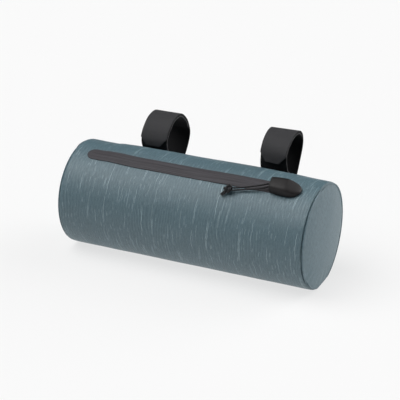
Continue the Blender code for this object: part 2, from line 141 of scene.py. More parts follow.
def onSkin(x, angle, lift=0.0):
    # angle runs from the top towards the front, lift is straight out of the fabric
    radius = skinRadius(x, angle) + lift
    turn = math.radians(angle)
    height = max(axisHeight + radius * math.cos(turn), -lift)
    return Vector((x, -radius * math.sin(turn), height))


def skinMatrix(x, angle, lift):
    turn = math.radians(angle)
    rearward = Vector((0, math.cos(turn), math.sin(turn)))
    outward = Vector((0, -math.sin(turn), math.cos(turn)))
    matrix = Matrix((Vector((1, 0, 0)), rearward, outward)).transposed().to_4x4()
    matrix.translation = onSkin(x, angle, lift)
    return matrix


def arcAngle(length):
    return math.degrees(length / bagRadius)


def zipAngle(x):
    return bagZip["angle"] + easedRow(bagZip["line"], x / halfLength)


def spaced(start, end, steps):
    return [start + (end - start) * i / steps for i in range(steps + 1)]


# camera first, then the cords
camera = {
    "place": (0.63968, -1.32033, 0.64249 + axisHeight),
    "turn": 25.82,     # degrees round the bag, from straight in front
    "fall": 23.23,     # degrees looking down
    "lens": 141.47,
    "sensor": 36.0,
}


def buildCamera():
    data = bpy.data.cameras.new("camera")
    data.lens = camera["lens"]
    data.sensor_width = camera["sensor"]
    obj = bpy.data.objects.new("camera", data)
    scene.collection.objects.link(obj)
    obj.location = camera["place"]
    obj.rotation_euler = (math.radians(90 - camera["fall"]), 0, math.radians(camera["turn"]))
    scene.camera = obj


buildCamera()


# small helpers for meshes
def gridMesh(across, along, place, uvPlace, mergeSides=False):
    # a grid whose vertices are put in place by functions of (column, row)
    bm = bmesh.new()
    bmesh.ops.create_grid(bm, x_segments=across, y_segments=along, size=1.0)
    uvLayer = bm.loops.layers.uv.new("UVMap")
    xs = sorted({round(v.co.x, 5) for v in bm.verts})
    ys = sorted({round(v.co.y, 5) for v in bm.verts})
    columnOf = {x: i for i, x in enumerate(xs)}
    rowOf = {y: i for i, y in enumerate(ys)}
    cells = {v: (columnOf[round(v.co.x, 5)], rowOf[round(v.co.y, 5)]) for v in bm.verts}
    for face in bm.faces:
        for loop in face.loops:
            loop[uvLayer].uv = uvPlace(*cells[loop.vert])
    for vert, cell in cells.items():
        vert.co = place(*cell)
    if mergeSides:
        bmesh.ops.remove_doubles(bm, verts=bm.verts, dist=1e-6)
    bm.normal_update()
    return bm


def faceAway(bm, inside):
    bm.normal_update()
    total = sum(f.normal.dot(f.calc_center_median() - inside) * f.calc_area() for f in bm.faces)
    if total < 0:
        bmesh.ops.reverse_faces(bm, faces=bm.faces[:])


def meshPiece(name, bm, materials, replaced=()):
    mesh = bpy.data.meshes.new(name)
    bm.to_mesh(mesh)
    bm.free()
    for material in materials:
        mesh.materials.append(material)
    mesh.shade_smooth()
    obj = bpy.data.objects.new(name, mesh)
    scene.collection.objects.link(obj)
    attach(obj, "root")
    if replaced:
        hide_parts(*replaced)
    return obj


def addWall(obj, thickness, offset=-1.0, even=True):
    wall = obj.modifiers.new("wall", "SOLIDIFY")
    wall.thickness = thickness
    wall.offset = offset
    wall.use_even_offset = even


def addRounding(obj, width):
    rounding = obj.modifiers.new("rounding", "BEVEL")
    rounding.width = width
    rounding.segments = 2
    rounding.limit_method = "ANGLE"
    rounding.angle_limit = math.radians(50)


# helpers for shader nodes
def newTree(name, inputs, outputs):
    tree = bpy.data.node_groups.new(name, "ShaderNodeTree")
    for label, kind, value in inputs:
        socket = tree.interface.new_socket(label, in_out="INPUT", socket_type=kind)
        if value is not None:
            socket.default_value = value
    for label, kind in outputs:
        tree.interface.new_socket(label, in_out="OUTPUT", socket_type=kind)
    return tree, tree.nodes.new("NodeGroupInput"), tree.nodes.new("NodeGroupOutput")


def feed(tree, socket, value):
    # another node's output is linked, a plain value is set
    if isinstance(value, bpy.types.NodeSocket):
        tree.links.new(value, socket)
    else:
        socket.default_value = value


def addNode(tree, kind, inputs=(), **settings):
    node = tree.nodes.new(kind)
    for key, value in settings.items():
        setattr(node, key, value)
    for key, value in dict(inputs).items():
        feed(tree, node.inputs[key], value)
    return node


def calc(tree, operation, *values):
    return addNode(tree, "ShaderNodeMath", dict(enumerate(values)), operation=operation).outputs[0]


def weightedSum(tree, *parts):
    # each part is a value and its weight
    total = 0.0
    for value, weight in parts:
        total = calc(tree, "MULTIPLY_ADD", value, weight, total)
    return total


def vectorCalc(tree, operation, *values):
    node = addNode(tree, "ShaderNodeVectorMath", dict(enumerate(values)), operation=operation)
    return node.outputs["Value" if operation == "DOT_PRODUCT" else "Vector"]


def ranged(tree, value, low, high, toLow=0.0, toHigh=1.0):
    node = addNode(
        tree,
        "ShaderNodeMapRange",
        {"Value": value, "From Min": low, "From Max": high, "To Min": toLow, "To Max": toHigh},
        interpolation_type="SMOOTHSTEP",
    )
    return node.outputs["Result"]


def mixed(tree, factor, first, second):
    node = addNode(tree, "ShaderNodeMix", {0: factor}, data_type="RGBA")
    for key, colour in ((6, first), (7, second)):
        feed(tree, node.inputs[key], (*colour, 1.0) if isinstance(colour, tuple) else colour)
    return node.outputs[2]


def noiseValue(tree, vector, scale, detail=2.0, rough=0.5):
    node = addNode(
        tree, "ShaderNodeTexNoise", {"Vector": vector, "Scale": scale, "Detail": detail, "Roughness": rough}
    )
    return node.outputs["Fac"]


def drawnNoise(tree, vector, scales, detail, rough):
    # noise drawn out one way, as yarn is
    drawnOut = addNode(tree, "ShaderNodeMapping", {"Vector": vector, "Scale": scales}).outputs[0]
    return noiseValue(tree, drawnOut, 1.0, detail, rough)


def makeSlubGroup():
    # pale thick threads: long thin lines scattered over the cloth, one in each cell that has one
    tree, source, sink = newTree(
        "slubThreads",
        [
            ("Vector", "NodeSocketVector", None),
            ("Cell Across", "NodeSocketFloat", 0.008),
            ("Cell Along", "NodeSocketFloat", 0.026),
            ("Half Width", "NodeSocketFloat", 0.0003),
            ("Half Length", "NodeSocketFloat", 0.011),
            ("Share", "NodeSocketFloat", 0.5),
            ("Twins", "NodeSocketFloat", 0.2),
            ("Slant", "NodeSocketFloat", 0.10),
        ],
        [("Mask", "NodeSocketFloat")],
    )
    given = source.outputs
    cell = addNode(
        tree, "ShaderNodeCombineXYZ", {"X": given["Cell Across"], "Y": given["Cell Along"], "Z": 1.0}
    ).outputs[0]
    cellPlace = vectorCalc(tree, "DIVIDE", given["Vector"], cell)
    voronoi = addNode(
        tree,
        "ShaderNodeTexVoronoi",
        {"Vector": cellPlace, "Scale": 1.0},
        voronoi_dimensions="2D",
        feature="F1",
    )
    away = vectorCalc(tree, "SUBTRACT", cellPlace, voronoi.outputs["Position"])
    away = vectorCalc(tree, "MULTIPLY", away, cell)
    split = addNode(tree, "ShaderNodeSeparateXYZ", {"Vector": away})
    chance = addNode(tree, "ShaderNodeSeparateColor", {"Color": voronoi.outputs["Color"]})
    slant = calc(tree, "MULTIPLY", calc(tree, "SUBTRACT", chance.outputs[2], 0.5), given["Slant"])
    across = calc(tree, "SUBTRACT", split.outputs[0], calc(tree, "MULTIPLY", split.outputs[1], slant))
    across = calc(tree, "ABSOLUTE", calc(tree, "DIVIDE", across, given["Half Width"]))
    # some of them are two threads side by side
    twin = calc(tree, "MULTIPLY", calc(tree, "LESS_THAN", chance.outputs[2], given["Twins"]), 1.9)
    across = calc(tree, "SUBTRACT", across, twin)
    reach = calc(tree, "MULTIPLY", given["Half Length"], ranged(tree, chance.outputs[1], 0, 1, 0.45, 1.0))
    along = calc(tree, "DIVIDE", split.outputs[1], reach)
    thread = ranged(tree, calc(tree, "MULTIPLY", across, across), 1.0, 0.05)
    tapered = ranged(tree, calc(tree, "MULTIPLY", along, along), 1.0, 0.25)
    uneven = ranged(tree, noiseValue(tree, given["Vector"], 210.0, 1.0), 0.3, 0.62, 0.55, 1.0)
    present = calc(tree, "LESS_THAN", chance.outputs[0], given["Share"])
    strength = ranged(tree, chance.outputs[1], 0, 1, 0.5, 1.0)
    mask = thread
    for factor in (tapered, present, strength, uneven):
        mask = calc(tree, "MULTIPLY", mask, factor)
    tree.links.new(mask, sink.inputs["Mask"])
    return tree


def makeWeaveGroup():
    # plain weave: warp and weft cross over and under at the given pitch
    tree, source, sink = newTree(
        "plainWeave",
        [("Vector", "NodeSocketVector", None), ("Pitch", "NodeSocketFloat", 0.0005)],
        [("Height", "NodeSocketFloat")],
    )
    pitch = source.outputs["Pitch"]
    cell = addNode(tree, "ShaderNodeCombineXYZ", {"X": pitch, "Y": pitch, "Z": 1.0}).outputs[0]
    scaled = vectorCalc(tree, "DIVIDE", source.outputs["Vector"], cell)
    split = addNode(tree, "ShaderNodeSeparateXYZ", {"Vector": scaled})
    waveX = calc(tree, "SINE", calc(tree, "MULTIPLY", split.outputs[0], math.pi))
    waveY = calc(tree, "SINE", calc(tree, "MULTIPLY", split.outputs[1], math.pi))
    crossing = calc(tree, "ABSOLUTE", calc(tree, "MULTIPLY", waveX, waveY))
    tree.links.new(calc(tree, "POWER", crossing, 0.6), sink.inputs["Height"])
    return tree


def makeToneGroup():
    # a light uneven tone over any surface, broad and fine
    tree, source, sink = newTree(
        "unevenTone",
        [
            ("Vector", "NodeSocketVector", None),
            ("Color", "NodeSocketColor", (0.5, 0.5, 0.5, 1)),
            ("Broad", "NodeSocketFloat", 0.1),
            ("Fine", "NodeSocketFloat", 0.1),
            ("Broad Scale", "NodeSocketFloat", 30.0),
            ("Fine Scale", "NodeSocketFloat", 900.0),
        ],
        [("Color", "NodeSocketColor")],
    )
    given = source.outputs
    tone = 1.0
    for label in ("Broad", "Fine"):
        patches = noiseValue(tree, given["Vector"], given[label + " Scale"])
        change = calc(tree, "SUBTRACT", patches, 0.5)
        tone = calc(tree, "MULTIPLY_ADD", change, given[label], tone)
    toned = addNode(tree, "ShaderNodeVectorMath", {0: given["Color"], "Scale": tone}, operation="SCALE")
    tree.links.new(toned.outputs[0], sink.inputs["Color"])
    return tree


slubGroup = makeSlubGroup()
weaveGroup = makeWeaveGroup()
toneGroup = makeToneGroup()


def useGroup(tree, group, **inputs):
    node = tree.nodes.new("ShaderNodeGroup")
    node.node_tree = group
    for key, value in inputs.items():
        feed(tree, node.inputs[key.replace("_", " ")], value)
    return node.outputs[0]


def newMaterial(name, **constants):
    # constants are set on the shader's own sockets
    material = bpy.data.materials.new(name)
    material.use_nodes = True
    shader = material.node_tree.nodes["Principled BSDF"]
    for key, value in constants.items():
        shader.inputs[key.replace("_", " ")].default_value = value
    return material, material.node_tree, shader


def setColour(tree, shader, place, colour, broad, fine, broadScale, fineScale):
    toned = useGroup(
        tree,
        toneGroup,
        Vector=place,
        Color=colour,
        Broad=broad,
        Fine=fine,
        Broad_Scale=broadScale,
        Fine_Scale=fineScale,
    )
    tree.links.new(toned, shader.inputs["Base Color"])


def addBump(tree, shader, height, distance, strength):
    bump = addNode(tree, "ShaderNodeBump", {"Height": height, "Distance": distance, "Strength": strength})
    tree.links.new(bump.outputs["Normal"], shader.inputs["Normal"])


def uvVector(tree):
    return addNode(tree, "ShaderNodeUVMap", uv_map="UVMap").outputs["UV"]


def objectVector(tree):
    return addNode(tree, "ShaderNodeTexCoord").outputs["Object"]


# materials
bodyCloth = {
    "base": (0.090, 0.150, 0.178),
    "shade": (0.052, 0.099, 0.121),
    "slub": (0.330, 0.435, 0.462),
    "flaw": (0.036, 0.070, 0.087),
    "roughness": 0.47,
    "gloss": 0.65,
    "weavePitch": 0.00055,
    "yarnScales": (1100.0, 210.0, 1.0),
    "grainScale": 1250.0,
    "ribPitch": 0.0033,      # faint wavy ribs that run round the bag
    "ribBend": 0.016,        # how far they bend, and the scale of the noise that bends them
    "ribBendScale": 24.0,
    "ribPatchScale": 19.0,   # they come and go in patches
    "ribTone": 0.13,         # how much they show in the colour, and in the relief
    "ribRelief": 1.6,
    "yarnRelief": 0.8,
    "wander": 0.0030,        # how far a slub strays from its line, slowly and in kinks
    "wanderScale": 60.0,
    "kink": 0.0011,
    "kinkScale": 240.0,
    # cell across, cell along, half width, half length, share of cells, strength, slide
    "slubs": [
        (0.0150, 0.050, 0.00031, 0.0210, 0.80, 0.85, 0.0),
        (0.0090, 0.030, 0.00027, 0.0115, 0.60, 0.70, 0.031),
        (0.0150, 0.042, 0.00085, 0.0160, 0.50, 0.22, 0.057),
        (0.0040, 0.011, 0.00024, 0.0036, 0.50, 0.55, 0.083),
    ],
    # dark threads between them, in the same order
    "flaws": [
        (0.0065, 0.020, 0.00036, 0.0078, 0.60, 0.60, 0.121),
        (0.0038, 0.010, 0.00034, 0.0034, 0.50, 0.45, 0.157),
    ],
}


def clothYarn(tree, place):
    # the uneven yarn, drawn out round the bag, with the weave's grain and faint wavy ribs
    yarn = drawnNoise(tree, place, bodyCloth["yarnScales"], 2.0, 0.55)
    grain = noiseValue(tree, place, bodyCloth["grainScale"], 1.0)
    alongBag = addNode(tree, "ShaderNodeSeparateXYZ", {"Vector": place}).outputs[0]
    bend = noiseValue(tree, place, bodyCloth["ribBendScale"], 1.0)
    bent = weightedSum(tree, (alongBag, 1.0), (bend, bodyCloth["ribBend"]))
    wave = calc(tree, "SINE", calc(tree, "DIVIDE", bent, bodyCloth["ribPitch"] / math.tau))
    patches = noiseValue(tree, place, bodyCloth["ribPatchScale"], 1.0)
    ribs = calc(tree, "MULTIPLY", wave, ranged(tree, patches, 0.35, 0.65, 0.075, 0.5))
    tone = weightedSum(tree, (yarn, 0.45), (grain, 0.40), (ribs, bodyCloth["ribTone"]), (1.0, 0.075))
    return tone, ribs


def slubThreads(tree, place, layers):
    wander = calc(tree, "SUBTRACT", noiseValue(tree, place, bodyCloth["wanderScale"], 1.0), 0.5)
    kink = calc(tree, "SUBTRACT", noiseValue(tree, place, bodyCloth["kinkScale"], 1.0), 0.5)
    shift = weightedSum(tree, (wander, bodyCloth["wander"]), (kink, bodyCloth["kink"]))
    wavy = vectorCalc(tree, "ADD", place, addNode(tree, "ShaderNodeCombineXYZ", {"X": shift}).outputs[0])
    threads = 0.0
    for across, along, halfWidth, reach, share, strength, slide in layers:
        mask = useGroup(
            tree,
            slubGroup,
            Vector=vectorCalc(tree, "ADD", wavy, (slide, slide * 0.7, 0.0)),
            Cell_Across=across,
            Cell_Along=along,
            Half_Width=halfWidth,
            Half_Length=reach,
            Share=share,
        )
        threads = calc(tree, "MAXIMUM", threads, calc(tree, "MULTIPLY", mask, strength))
    return threads


def makeBodyMaterial():
    material, tree, shader = newMaterial(
        "bodySlubCloth", Roughness=bodyCloth["roughness"], Specular_IOR_Level=bodyCloth["gloss"]
    )
    place = uvVector(tree)
    yarn, ribs = clothYarn(tree, place)
    slub = slubThreads(tree, place, bodyCloth["slubs"])
    flaw = slubThreads(tree, place, bodyCloth["flaws"])
    colour = mixed(tree, ranged(tree, yarn, 0.36, 0.64), bodyCloth["shade"], bodyCloth["base"])
    colour = mixed(tree, flaw, colour, bodyCloth["flaw"])
    colour = mixed(tree, slub, colour, bodyCloth["slub"])
    setColour(tree, shader, place, colour, broad=0.14, fine=0.10, broadScale=26.0, fineScale=650.0)
    weave = useGroup(tree, weaveGroup, Vector=place, Pitch=bodyCloth["weavePitch"])
    height = weightedSum(
        tree, (weave, 1.0), (slub, 1.0), (yarn, bodyCloth["yarnRelief"]), (ribs, bodyCloth["ribRelief"])
    )
    addBump(tree, shader, height, distance=0.00010, strength=0.7)
    return material


endCloth = {
    "pale": (0.090, 0.150, 0.178),
    "dark": (0.062, 0.112, 0.136),
    "roughness": 0.45,
    "gloss": 0.6,
    "weavePitch": 0.0006,
    "yarnScales": (700.0, 220.0, 1.0),
    "yarnRelief": 0.5,
}


def makeEndMaterial():
    material, tree, shader = newMaterial(
        "endPanelCloth", Roughness=endCloth["roughness"], Specular_IOR_Level=endCloth["gloss"]
    )
    place = uvVector(tree)
    yarn = drawnNoise(tree, place, endCloth["yarnScales"], 3.0, 0.6)
    colour = mixed(tree, ranged(tree, yarn, 0.33, 0.67), endCloth["dark"], endCloth["pale"])
    setColour(tree, shader, place, colour, broad=0.10, fine=0.06, broadScale=24.0, fineScale=700.0)
    weave = useGroup(tree, weaveGroup, Vector=place, Pitch=endCloth["weavePitch"])
    height = weightedSum(tree, (weave, 1.0), (yarn, endCloth["yarnRelief"]))
    addBump(tree, shader, height, distance=0.00006, strength=0.5)
    return material


tapeFinish = {
    "base": (0.052, 0.050, 0.058),
    "dark": (0.026, 0.023, 0.026),
    "paintedEdgeShade": (0.020, 0.022, 0.026),   # painted shade along both sides of the cover, where the cloth's edge shades it
    "paintedEdgeShadeShare": 0.3,
    "paintedEdgeShadeWidth": 0.0011,
    "paintedEdgeShadeBlend": 0.0006,
    "lineScales": (16.0, 1500.0, 1.0),
    "weavePitch": 0.00035,
}


def makeTapeMaterial():
    material, tree, shader = newMaterial("zipCover", Specular_IOR_Level=0.4)
    place = uvVector(tree)
    lines = drawnNoise(tree, place, tapeFinish["lineScales"], 2.0, 0.6)
    colour = mixed(tree, ranged(tree, lines, 0.35, 0.65), tapeFinish["dark"], tapeFinish["base"])
    across = calc(tree, "ABSOLUTE", addNode(tree, "ShaderNodeSeparateXYZ", {"Vector": place}).outputs[1])
    # painted shade: the cover is darker along both sides, where the cloth's edge shades it
    begins = bagZip["width"] / 2 - tapeFinish["paintedEdgeShadeWidth"]
    paintedEdgeShade = ranged(tree, across, begins, begins + tapeFinish["paintedEdgeShadeBlend"], 0.0, tapeFinish["paintedEdgeShadeShare"])
    colour = mixed(tree, paintedEdgeShade, colour, tapeFinish["paintedEdgeShade"])
    setColour(tree, shader, place, colour, broad=0.14, fine=0.12, broadScale=40.0, fineScale=1500.0)
    tree.links.new(ranged(tree, lines, 0.2, 0.8, 0.80, 0.66), shader.inputs["Roughness"])
    weave = useGroup(tree, weaveGroup, Vector=place, Pitch=tapeFinish["weavePitch"])
    addBump(tree, shader, weightedSum(tree, (weave, 0.4), (lines, 1.0)), distance=0.00006, strength=0.7)
    return material


rubber = {
    "base": (0.0090, 0.0078, 0.0082),
    "worn": (0.018, 0.0155, 0.0165),
    "gloss": 0.30,
    "grainScale": 2600.0,
    "wearScale": 120.0,
}


def makeRubberMaterial():
    material, tree, shader = newMaterial("garageRubber", Specular_IOR_Level=rubber["gloss"])
    place = objectVector(tree)
    grain = noiseValue(tree, place, rubber["grainScale"])
    wear = noiseValue(tree, place, rubber["wearScale"], 3.0, 0.6)
    colour = mixed(tree, ranged(tree, wear, 0.45, 0.8, 0.0, 0.5), rubber["base"], rubber["worn"])
    setColour(tree, shader, place, colour, broad=0.12, fine=0.15, broadScale=60.0, fineScale=2200.0)
    tree.links.new(ranged(tree, wear, 0.3, 0.7, 0.50, 0.66), shader.inputs["Roughness"])
    addBump(tree, shader, grain, distance=0.00004, strength=0.8)
    return material


strapFinish = {
    "backing": ((0.018, 0.018, 0.020), (0.042, 0.042, 0.045)),    # the smooth outer face
    "backingScales": (1400.0, 260.0, 1.0),
    "backingPitch": 0.0004,
    "hooks": ((0.014, 0.014, 0.015), (0.004, 0.004, 0.005)),      # the black hook and loop face
    "hookScale": 1500.0,
    "edge": ((0.060, 0.060, 0.064), (0.190, 0.190, 0.198)),       # the cut edge, where the pale core shows
    "edgeScale": 1800.0,
}


def makeBackingMaterial():
    material, tree, shader = newMaterial(
        "strapBacking", Sheen_Weight=0.03, Sheen_Roughness=0.4, Specular_IOR_Level=0.24
    )
    place = uvVector(tree)
    fibre = drawnNoise(tree, place, strapFinish["backingScales"], 2.0, 0.6)
    colour = mixed(tree, fibre, *strapFinish["backing"])
    setColour(tree, shader, place, colour, broad=0.16, fine=0.10, broadScale=45.0, fineScale=1200.0)
    tree.links.new(ranged(tree, fibre, 0.2, 0.8, 0.58, 0.74), shader.inputs["Roughness"])
    weave = useGroup(tree, weaveGroup, Vector=place, Pitch=strapFinish["backingPitch"])
    addBump(tree, shader, weave, distance=0.00006, strength=0.6)
    return material


def makeHookMaterial():
    material, tree, shader = newMaterial(
        "strapHooks", Roughness=0.9, Sheen_Weight=0.05, Specular_IOR_Level=0.2
    )
    place = uvVector(tree)
    hooks = addNode(
        tree,
        "ShaderNodeTexVoronoi",
        {"Vector": place, "Scale": strapFinish["hookScale"]},
        voronoi_dimensions="2D",
    ).outputs["Distance"]
    colour = mixed(tree, ranged(tree, hooks, 0.1, 0.6), *strapFinish["hooks"])
    setColour(tree, shader, place, colour, broad=0.3, fine=0.3, broadScale=60.0, fineScale=900.0)
    addBump(tree, shader, calc(tree, "SUBTRACT", 1.0, hooks), distance=0.0003, strength=0.9)
    return material


def makeEdgeMaterial():
    material, tree, shader = newMaterial("strapEdge", Roughness=0.7, Specular_IOR_Level=0.3)
    fibre = noiseValue(tree, objectVector(tree), strapFinish["edgeScale"])
    colour = mixed(tree, ranged(tree, fibre, 0.3, 0.7), *strapFinish["edge"])
    tree.links.new(colour, shader.inputs["Base Color"])
    addBump(tree, shader, fibre, distance=0.00004, strength=0.6)
    return material


keeperFinish = {
    "webbing": ((0.018, 0.018, 0.020), (0.050, 0.050, 0.053)),
    "webbingPitch": 0.0009,
    "webbingScales": (1.0, 1.6, 1.0),     # its ribs lie closer one way
    "thread": ((0.020, 0.020, 0.022), (0.060, 0.060, 0.064)),
    "twistScale": 5200.0,
}


def makeWebbingMaterial():
    material, tree, shader = newMaterial(
        "keeperWebbing", Roughness=0.8, Sheen_Weight=0.1, Specular_IOR_Level=0.3
    )
    place = uvVector(tree)
    drawn = addNode(tree, "ShaderNodeMapping", {"Vector": place, "Scale": keeperFinish["webbingScales"]})
    weave = useGroup(tree, weaveGroup, Vector=drawn.outputs[0], Pitch=keeperFinish["webbingPitch"])
    colour = mixed(tree, weave, *keeperFinish["webbing"])
    setColour(tree, shader, place, colour, broad=0.15, fine=0.2, broadScale=60.0, fineScale=1500.0)
    addBump(tree, shader, weave, distance=0.0002, strength=0.9)
    return material


def makeThreadMaterial():
    material, tree, shader = newMaterial("sewingThread", Roughness=0.6, Specular_IOR_Level=0.4)
    twist = noiseValue(tree, objectVector(tree), keeperFinish["twistScale"], 1.0)
    tree.links.new(mixed(tree, twist, *keeperFinish["thread"]), shader.inputs["Base Color"])
    addBump(tree, shader, twist, distance=0.00003, strength=0.6)
    return material


cordFinish = {
    "dark": (0.002, 0.002, 0.003),
    "pale": (0.009, 0.009, 0.011),
    "knotPale": (0.010, 0.010, 0.012),
    "strands": 8.0,          # strands that wind round the cord, each way
    "winding": 240.0,        # how fast they wind along it
    "knotScale": 2400.0,
}


def makeCordMaterial():
    # a waxed braid: two sets of strands wind round the cord in opposite directions
    material, tree, shader = newMaterial("cordBraid", Specular_IOR_Level=0.3)
    place = addNode(tree, "ShaderNodeSeparateXYZ", {"Vector": uvVector(tree)})
    along = calc(tree, "MULTIPLY", place.outputs[0], cordFinish["winding"])
    around = calc(tree, "MULTIPLY", place.outputs[1], cordFinish["strands"] * math.tau)
    first = calc(tree, "SINE", calc(tree, "ADD", around, along))
    second = calc(tree, "SINE", calc(tree, "SUBTRACT", around, along))
    braid = calc(tree, "MAXIMUM", first, second)
    colour = mixed(tree, ranged(tree, braid, -0.2, 0.9), cordFinish["dark"], cordFinish["pale"])
    tree.links.new(colour, shader.inputs["Base Color"])
    tree.links.new(ranged(tree, braid, -0.2, 0.9, 0.7, 0.42), shader.inputs["Roughness"])
    addBump(tree, shader, braid, distance=0.00008, strength=0.7)
    return material


def makeKnotMaterial():
    material, tree, shader = newMaterial(
        "knotBraid", Coat_Weight=0.10, Coat_Roughness=0.25, Specular_IOR_Level=0.3
    )
    strand = addNode(
        tree, "ShaderNodeTexVoronoi", {"Vector": objectVector(tree), "Scale": cordFinish["knotScale"]}
    ).outputs["Distance"]
    colour = mixed(tree, ranged(tree, strand, 0.1, 0.7), cordFinish["knotPale"], cordFinish["dark"])
    tree.links.new(colour, shader.inputs["Base Color"])
    tree.links.new(ranged(tree, strand, 0.1, 0.7, 0.34, 0.6), shader.inputs["Roughness"])
    addBump(tree, shader, calc(tree, "SUBTRACT", 1.0, strand), distance=0.00008, strength=0.8)
    return material


lacquer = {
    "base": (0.012, 0.012, 0.013),
    "worn": (0.075, 0.073, 0.070),
    "metallic": 0.6,
    "wearScale": 700.0,
}


def makeMetalMaterial():
    material, tree, shader = newMaterial(
        "sliderLacquer", Metallic=lacquer["metallic"], Specular_IOR_Level=0.5
    )
    wear = noiseValue(tree, objectVector(tree), lacquer["wearScale"], 3.0, 0.6)
    colour = mixed(tree, ranged(tree, wear, 0.5, 0.75), lacquer["base"], lacquer["worn"])
    tree.links.new(colour, shader.inputs["Base Color"])
    tree.links.new(ranged(tree, wear, 0.3, 0.7, 0.28, 0.5), shader.inputs["Roughness"])
    addBump(tree, shader, wear, distance=0.00003, strength=0.4)
    return material


bodyMaterial = makeBodyMaterial()
endMaterial = makeEndMaterial()
tapeMaterial = makeTapeMaterial()
rubberMaterial = makeRubberMaterial()
backingMaterial = makeBackingMaterial()
hookMaterial = makeHookMaterial()
edgeMaterial = makeEdgeMaterial()
webbingMaterial = makeWebbingMaterial()
threadMaterial = makeThreadMaterial()
cordMaterial = makeCordMaterial()
knotMaterial = makeKnotMaterial()
metalMaterial = makeMetalMaterial()
print("materials made")

# the pull cord
cord = {
    "diameter": 0.0014,
    "fuzz": 0.0002,          # stray fibres make the cord look this much thicker
    "stepsPerPoint": 6,
    # x, degrees from the top, lift of the cord's middle above the fabric
    "rear": [
        (0.0918, 20.9, 0.0043),
        (0.0898, 21.2, 0.0043),
        (0.0870, 22.3, 0.0044),
        (0.0828, 24.3, 0.0044),
        (0.0788, 26.3, 0.0042),
        (0.0720, 28.7, 0.0039),
        (0.0668, 30.5, 0.0036),
        (0.0597, 32.7, 0.0034),
        (0.0550, 34.2, 0.0036),
        (0.0523, 35.0, 0.0040),
        (0.0500, 35.6, 0.0042),
    ],
    "front": [
        (0.0918, 22.9, 0.0043),
        (0.0901, 24.0, 0.0043),
        (0.0880, 25.6, 0.0043),
        (0.0844, 27.8, 0.0042),
        (0.0805, 29.4, 0.0039),
        (0.0765, 30.6, 0.0035),
        (0.0711, 32.0, 0.0032),
        (0.0660, 33.2, 0.0030),
        (0.0604, 34.7, 0.0029),
        (0.0555, 36.3, 0.0032),
        (0.0526, 37.3, 0.0036),
        (0.0500, 37.4, 0.0040),
    ],
}


def smoothPoint(points, position, closed=False):
    count = len(points)
    start = math.floor(position)
    share = position - start
    corners = []
    for step in (-1, 0, 1, 2):
        index = start + step
        corners.append(points[index % count if closed else min(max(index, 0), count - 1)])
    a, b, c, d = corners
    return (
        b * 2
        + (c - a) * share
        + (a * 2 - b * 5 + c * 4 - d) * share**2
        + (b * 3 - a - c * 3 + d) * share**3
    ) / 2


def curveTube(name, points, diameter, resolution):
    # a round tube along the points, as a mesh with UVs along and round it
    data = bpy.data.curves.new(name + "Line", "CURVE")
    data.dimensions = "3D"
    data.bevel_depth = diameter / 2
    data.bevel_resolution = resolution
    data.use_fill_caps = True
    spline = data.splines.new("POLY")
    spline.points.add(len(points) - 1)
    for target, point in zip(spline.points, points):
        target.co = (*point, 1.0)
    obj = bpy.data.objects.new(name + "Line", data)
    scene.collection.objects.link(obj)
    bpy.context.view_layer.update()
    mesh = bpy.data.meshes.new_from_object(obj.evaluated_get(bpy.context.evaluated_depsgraph_get()))
    bpy.data.objects.remove(obj)
    return mesh


def buildCordStrand(name, route, node):
    through = [onSkin(*row) for row in route]
    steps = cord["stepsPerPoint"] * (len(through) - 1)
    points = [smoothPoint(through, i / cord["stepsPerPoint"]) for i in range(steps + 1)]
    mesh = curveTube(name, points, cord["diameter"] + cord["fuzz"], 4)
    bm = bmesh.new()
    bm.from_mesh(mesh)
    bpy.data.meshes.remove(mesh)
    bmesh.ops.remove_doubles(bm, verts=bm.verts, dist=1e-6)
    bmesh.ops.recalc_face_normals(bm, faces=bm.faces[:])
    obj = meshPiece(name, bm, [cordMaterial], [node])
    length = sum((b - a).length for a, b in zip(points, points[1:]))
    return obj, points, length


knot = {
    "x": 0.0484,
    "angle": 36.6,
    "lift": 0.0039,
    "size": 0.00106,      # scale of the knot's loops, before the cord's own thickness
    "depth": 1.25,        # how far they pass over and under each other, at that scale
    "cordDiameter": 0.0032,
    "tailDiameter": 0.0022,
    "turn": 30.0,         # of the knot on the cloth, in degrees
    "tails": [
        # along, across, lift of each tail's points, in metres from the knot's middle
        [
            (-0.0012, -0.0016, 0.0000),
            (-0.0030, -0.0034, -0.0008),
            (-0.0046, -0.0050, -0.0016),
            (-0.0060, -0.0062, -0.0022),
        ],
        [
            (-0.0004, -0.0020, -0.0004),
            (-0.0020, -0.0038, -0.0014),
            (-0.0036, -0.0054, -0.0022),
            (-0.0048, -0.0068, -0.0026),
        ],
    ],
    "loopSteps": 60,
    "tailSteps": 5,
    "fibres": 14,         # frayed out of each tail's end
    "fibreLength": 0.0011,
    "fibreDiameter": 0.00018,
}


def frayTail(end, direction, number):
    # fibres that stand out of a tail's cut end, each in its own direction
    fibres = []
    for i in range(knot["fibres"]):
        seed = Vector((i * 1.7, number * 3.1, 0.4))
        shifts = (Vector((0, 0, 0)), Vector((9, 0, 0)), Vector((0, 9, 0)))
        stray = Vector([noise.noise(seed + shift) for shift in shifts])
        stray += Vector((math.sin(i * 2.4), math.cos(i * 2.4), math.sin(i * 1.3))) * 0.35
        reach = knot["fibreLength"] * (0.6 + 0.4 * abs(noise.noise(seed * 2)))
        tip = end + (direction + stray * 0.9) * reach
        middle = (end + tip) / 2 + stray * 0.0001
        root = end - direction * 0.0003 + stray * 0.0004
        fibres.append(curveTube("knotFibre", [root, middle, tip], knot["fibreDiameter"], 0))
    return fibres


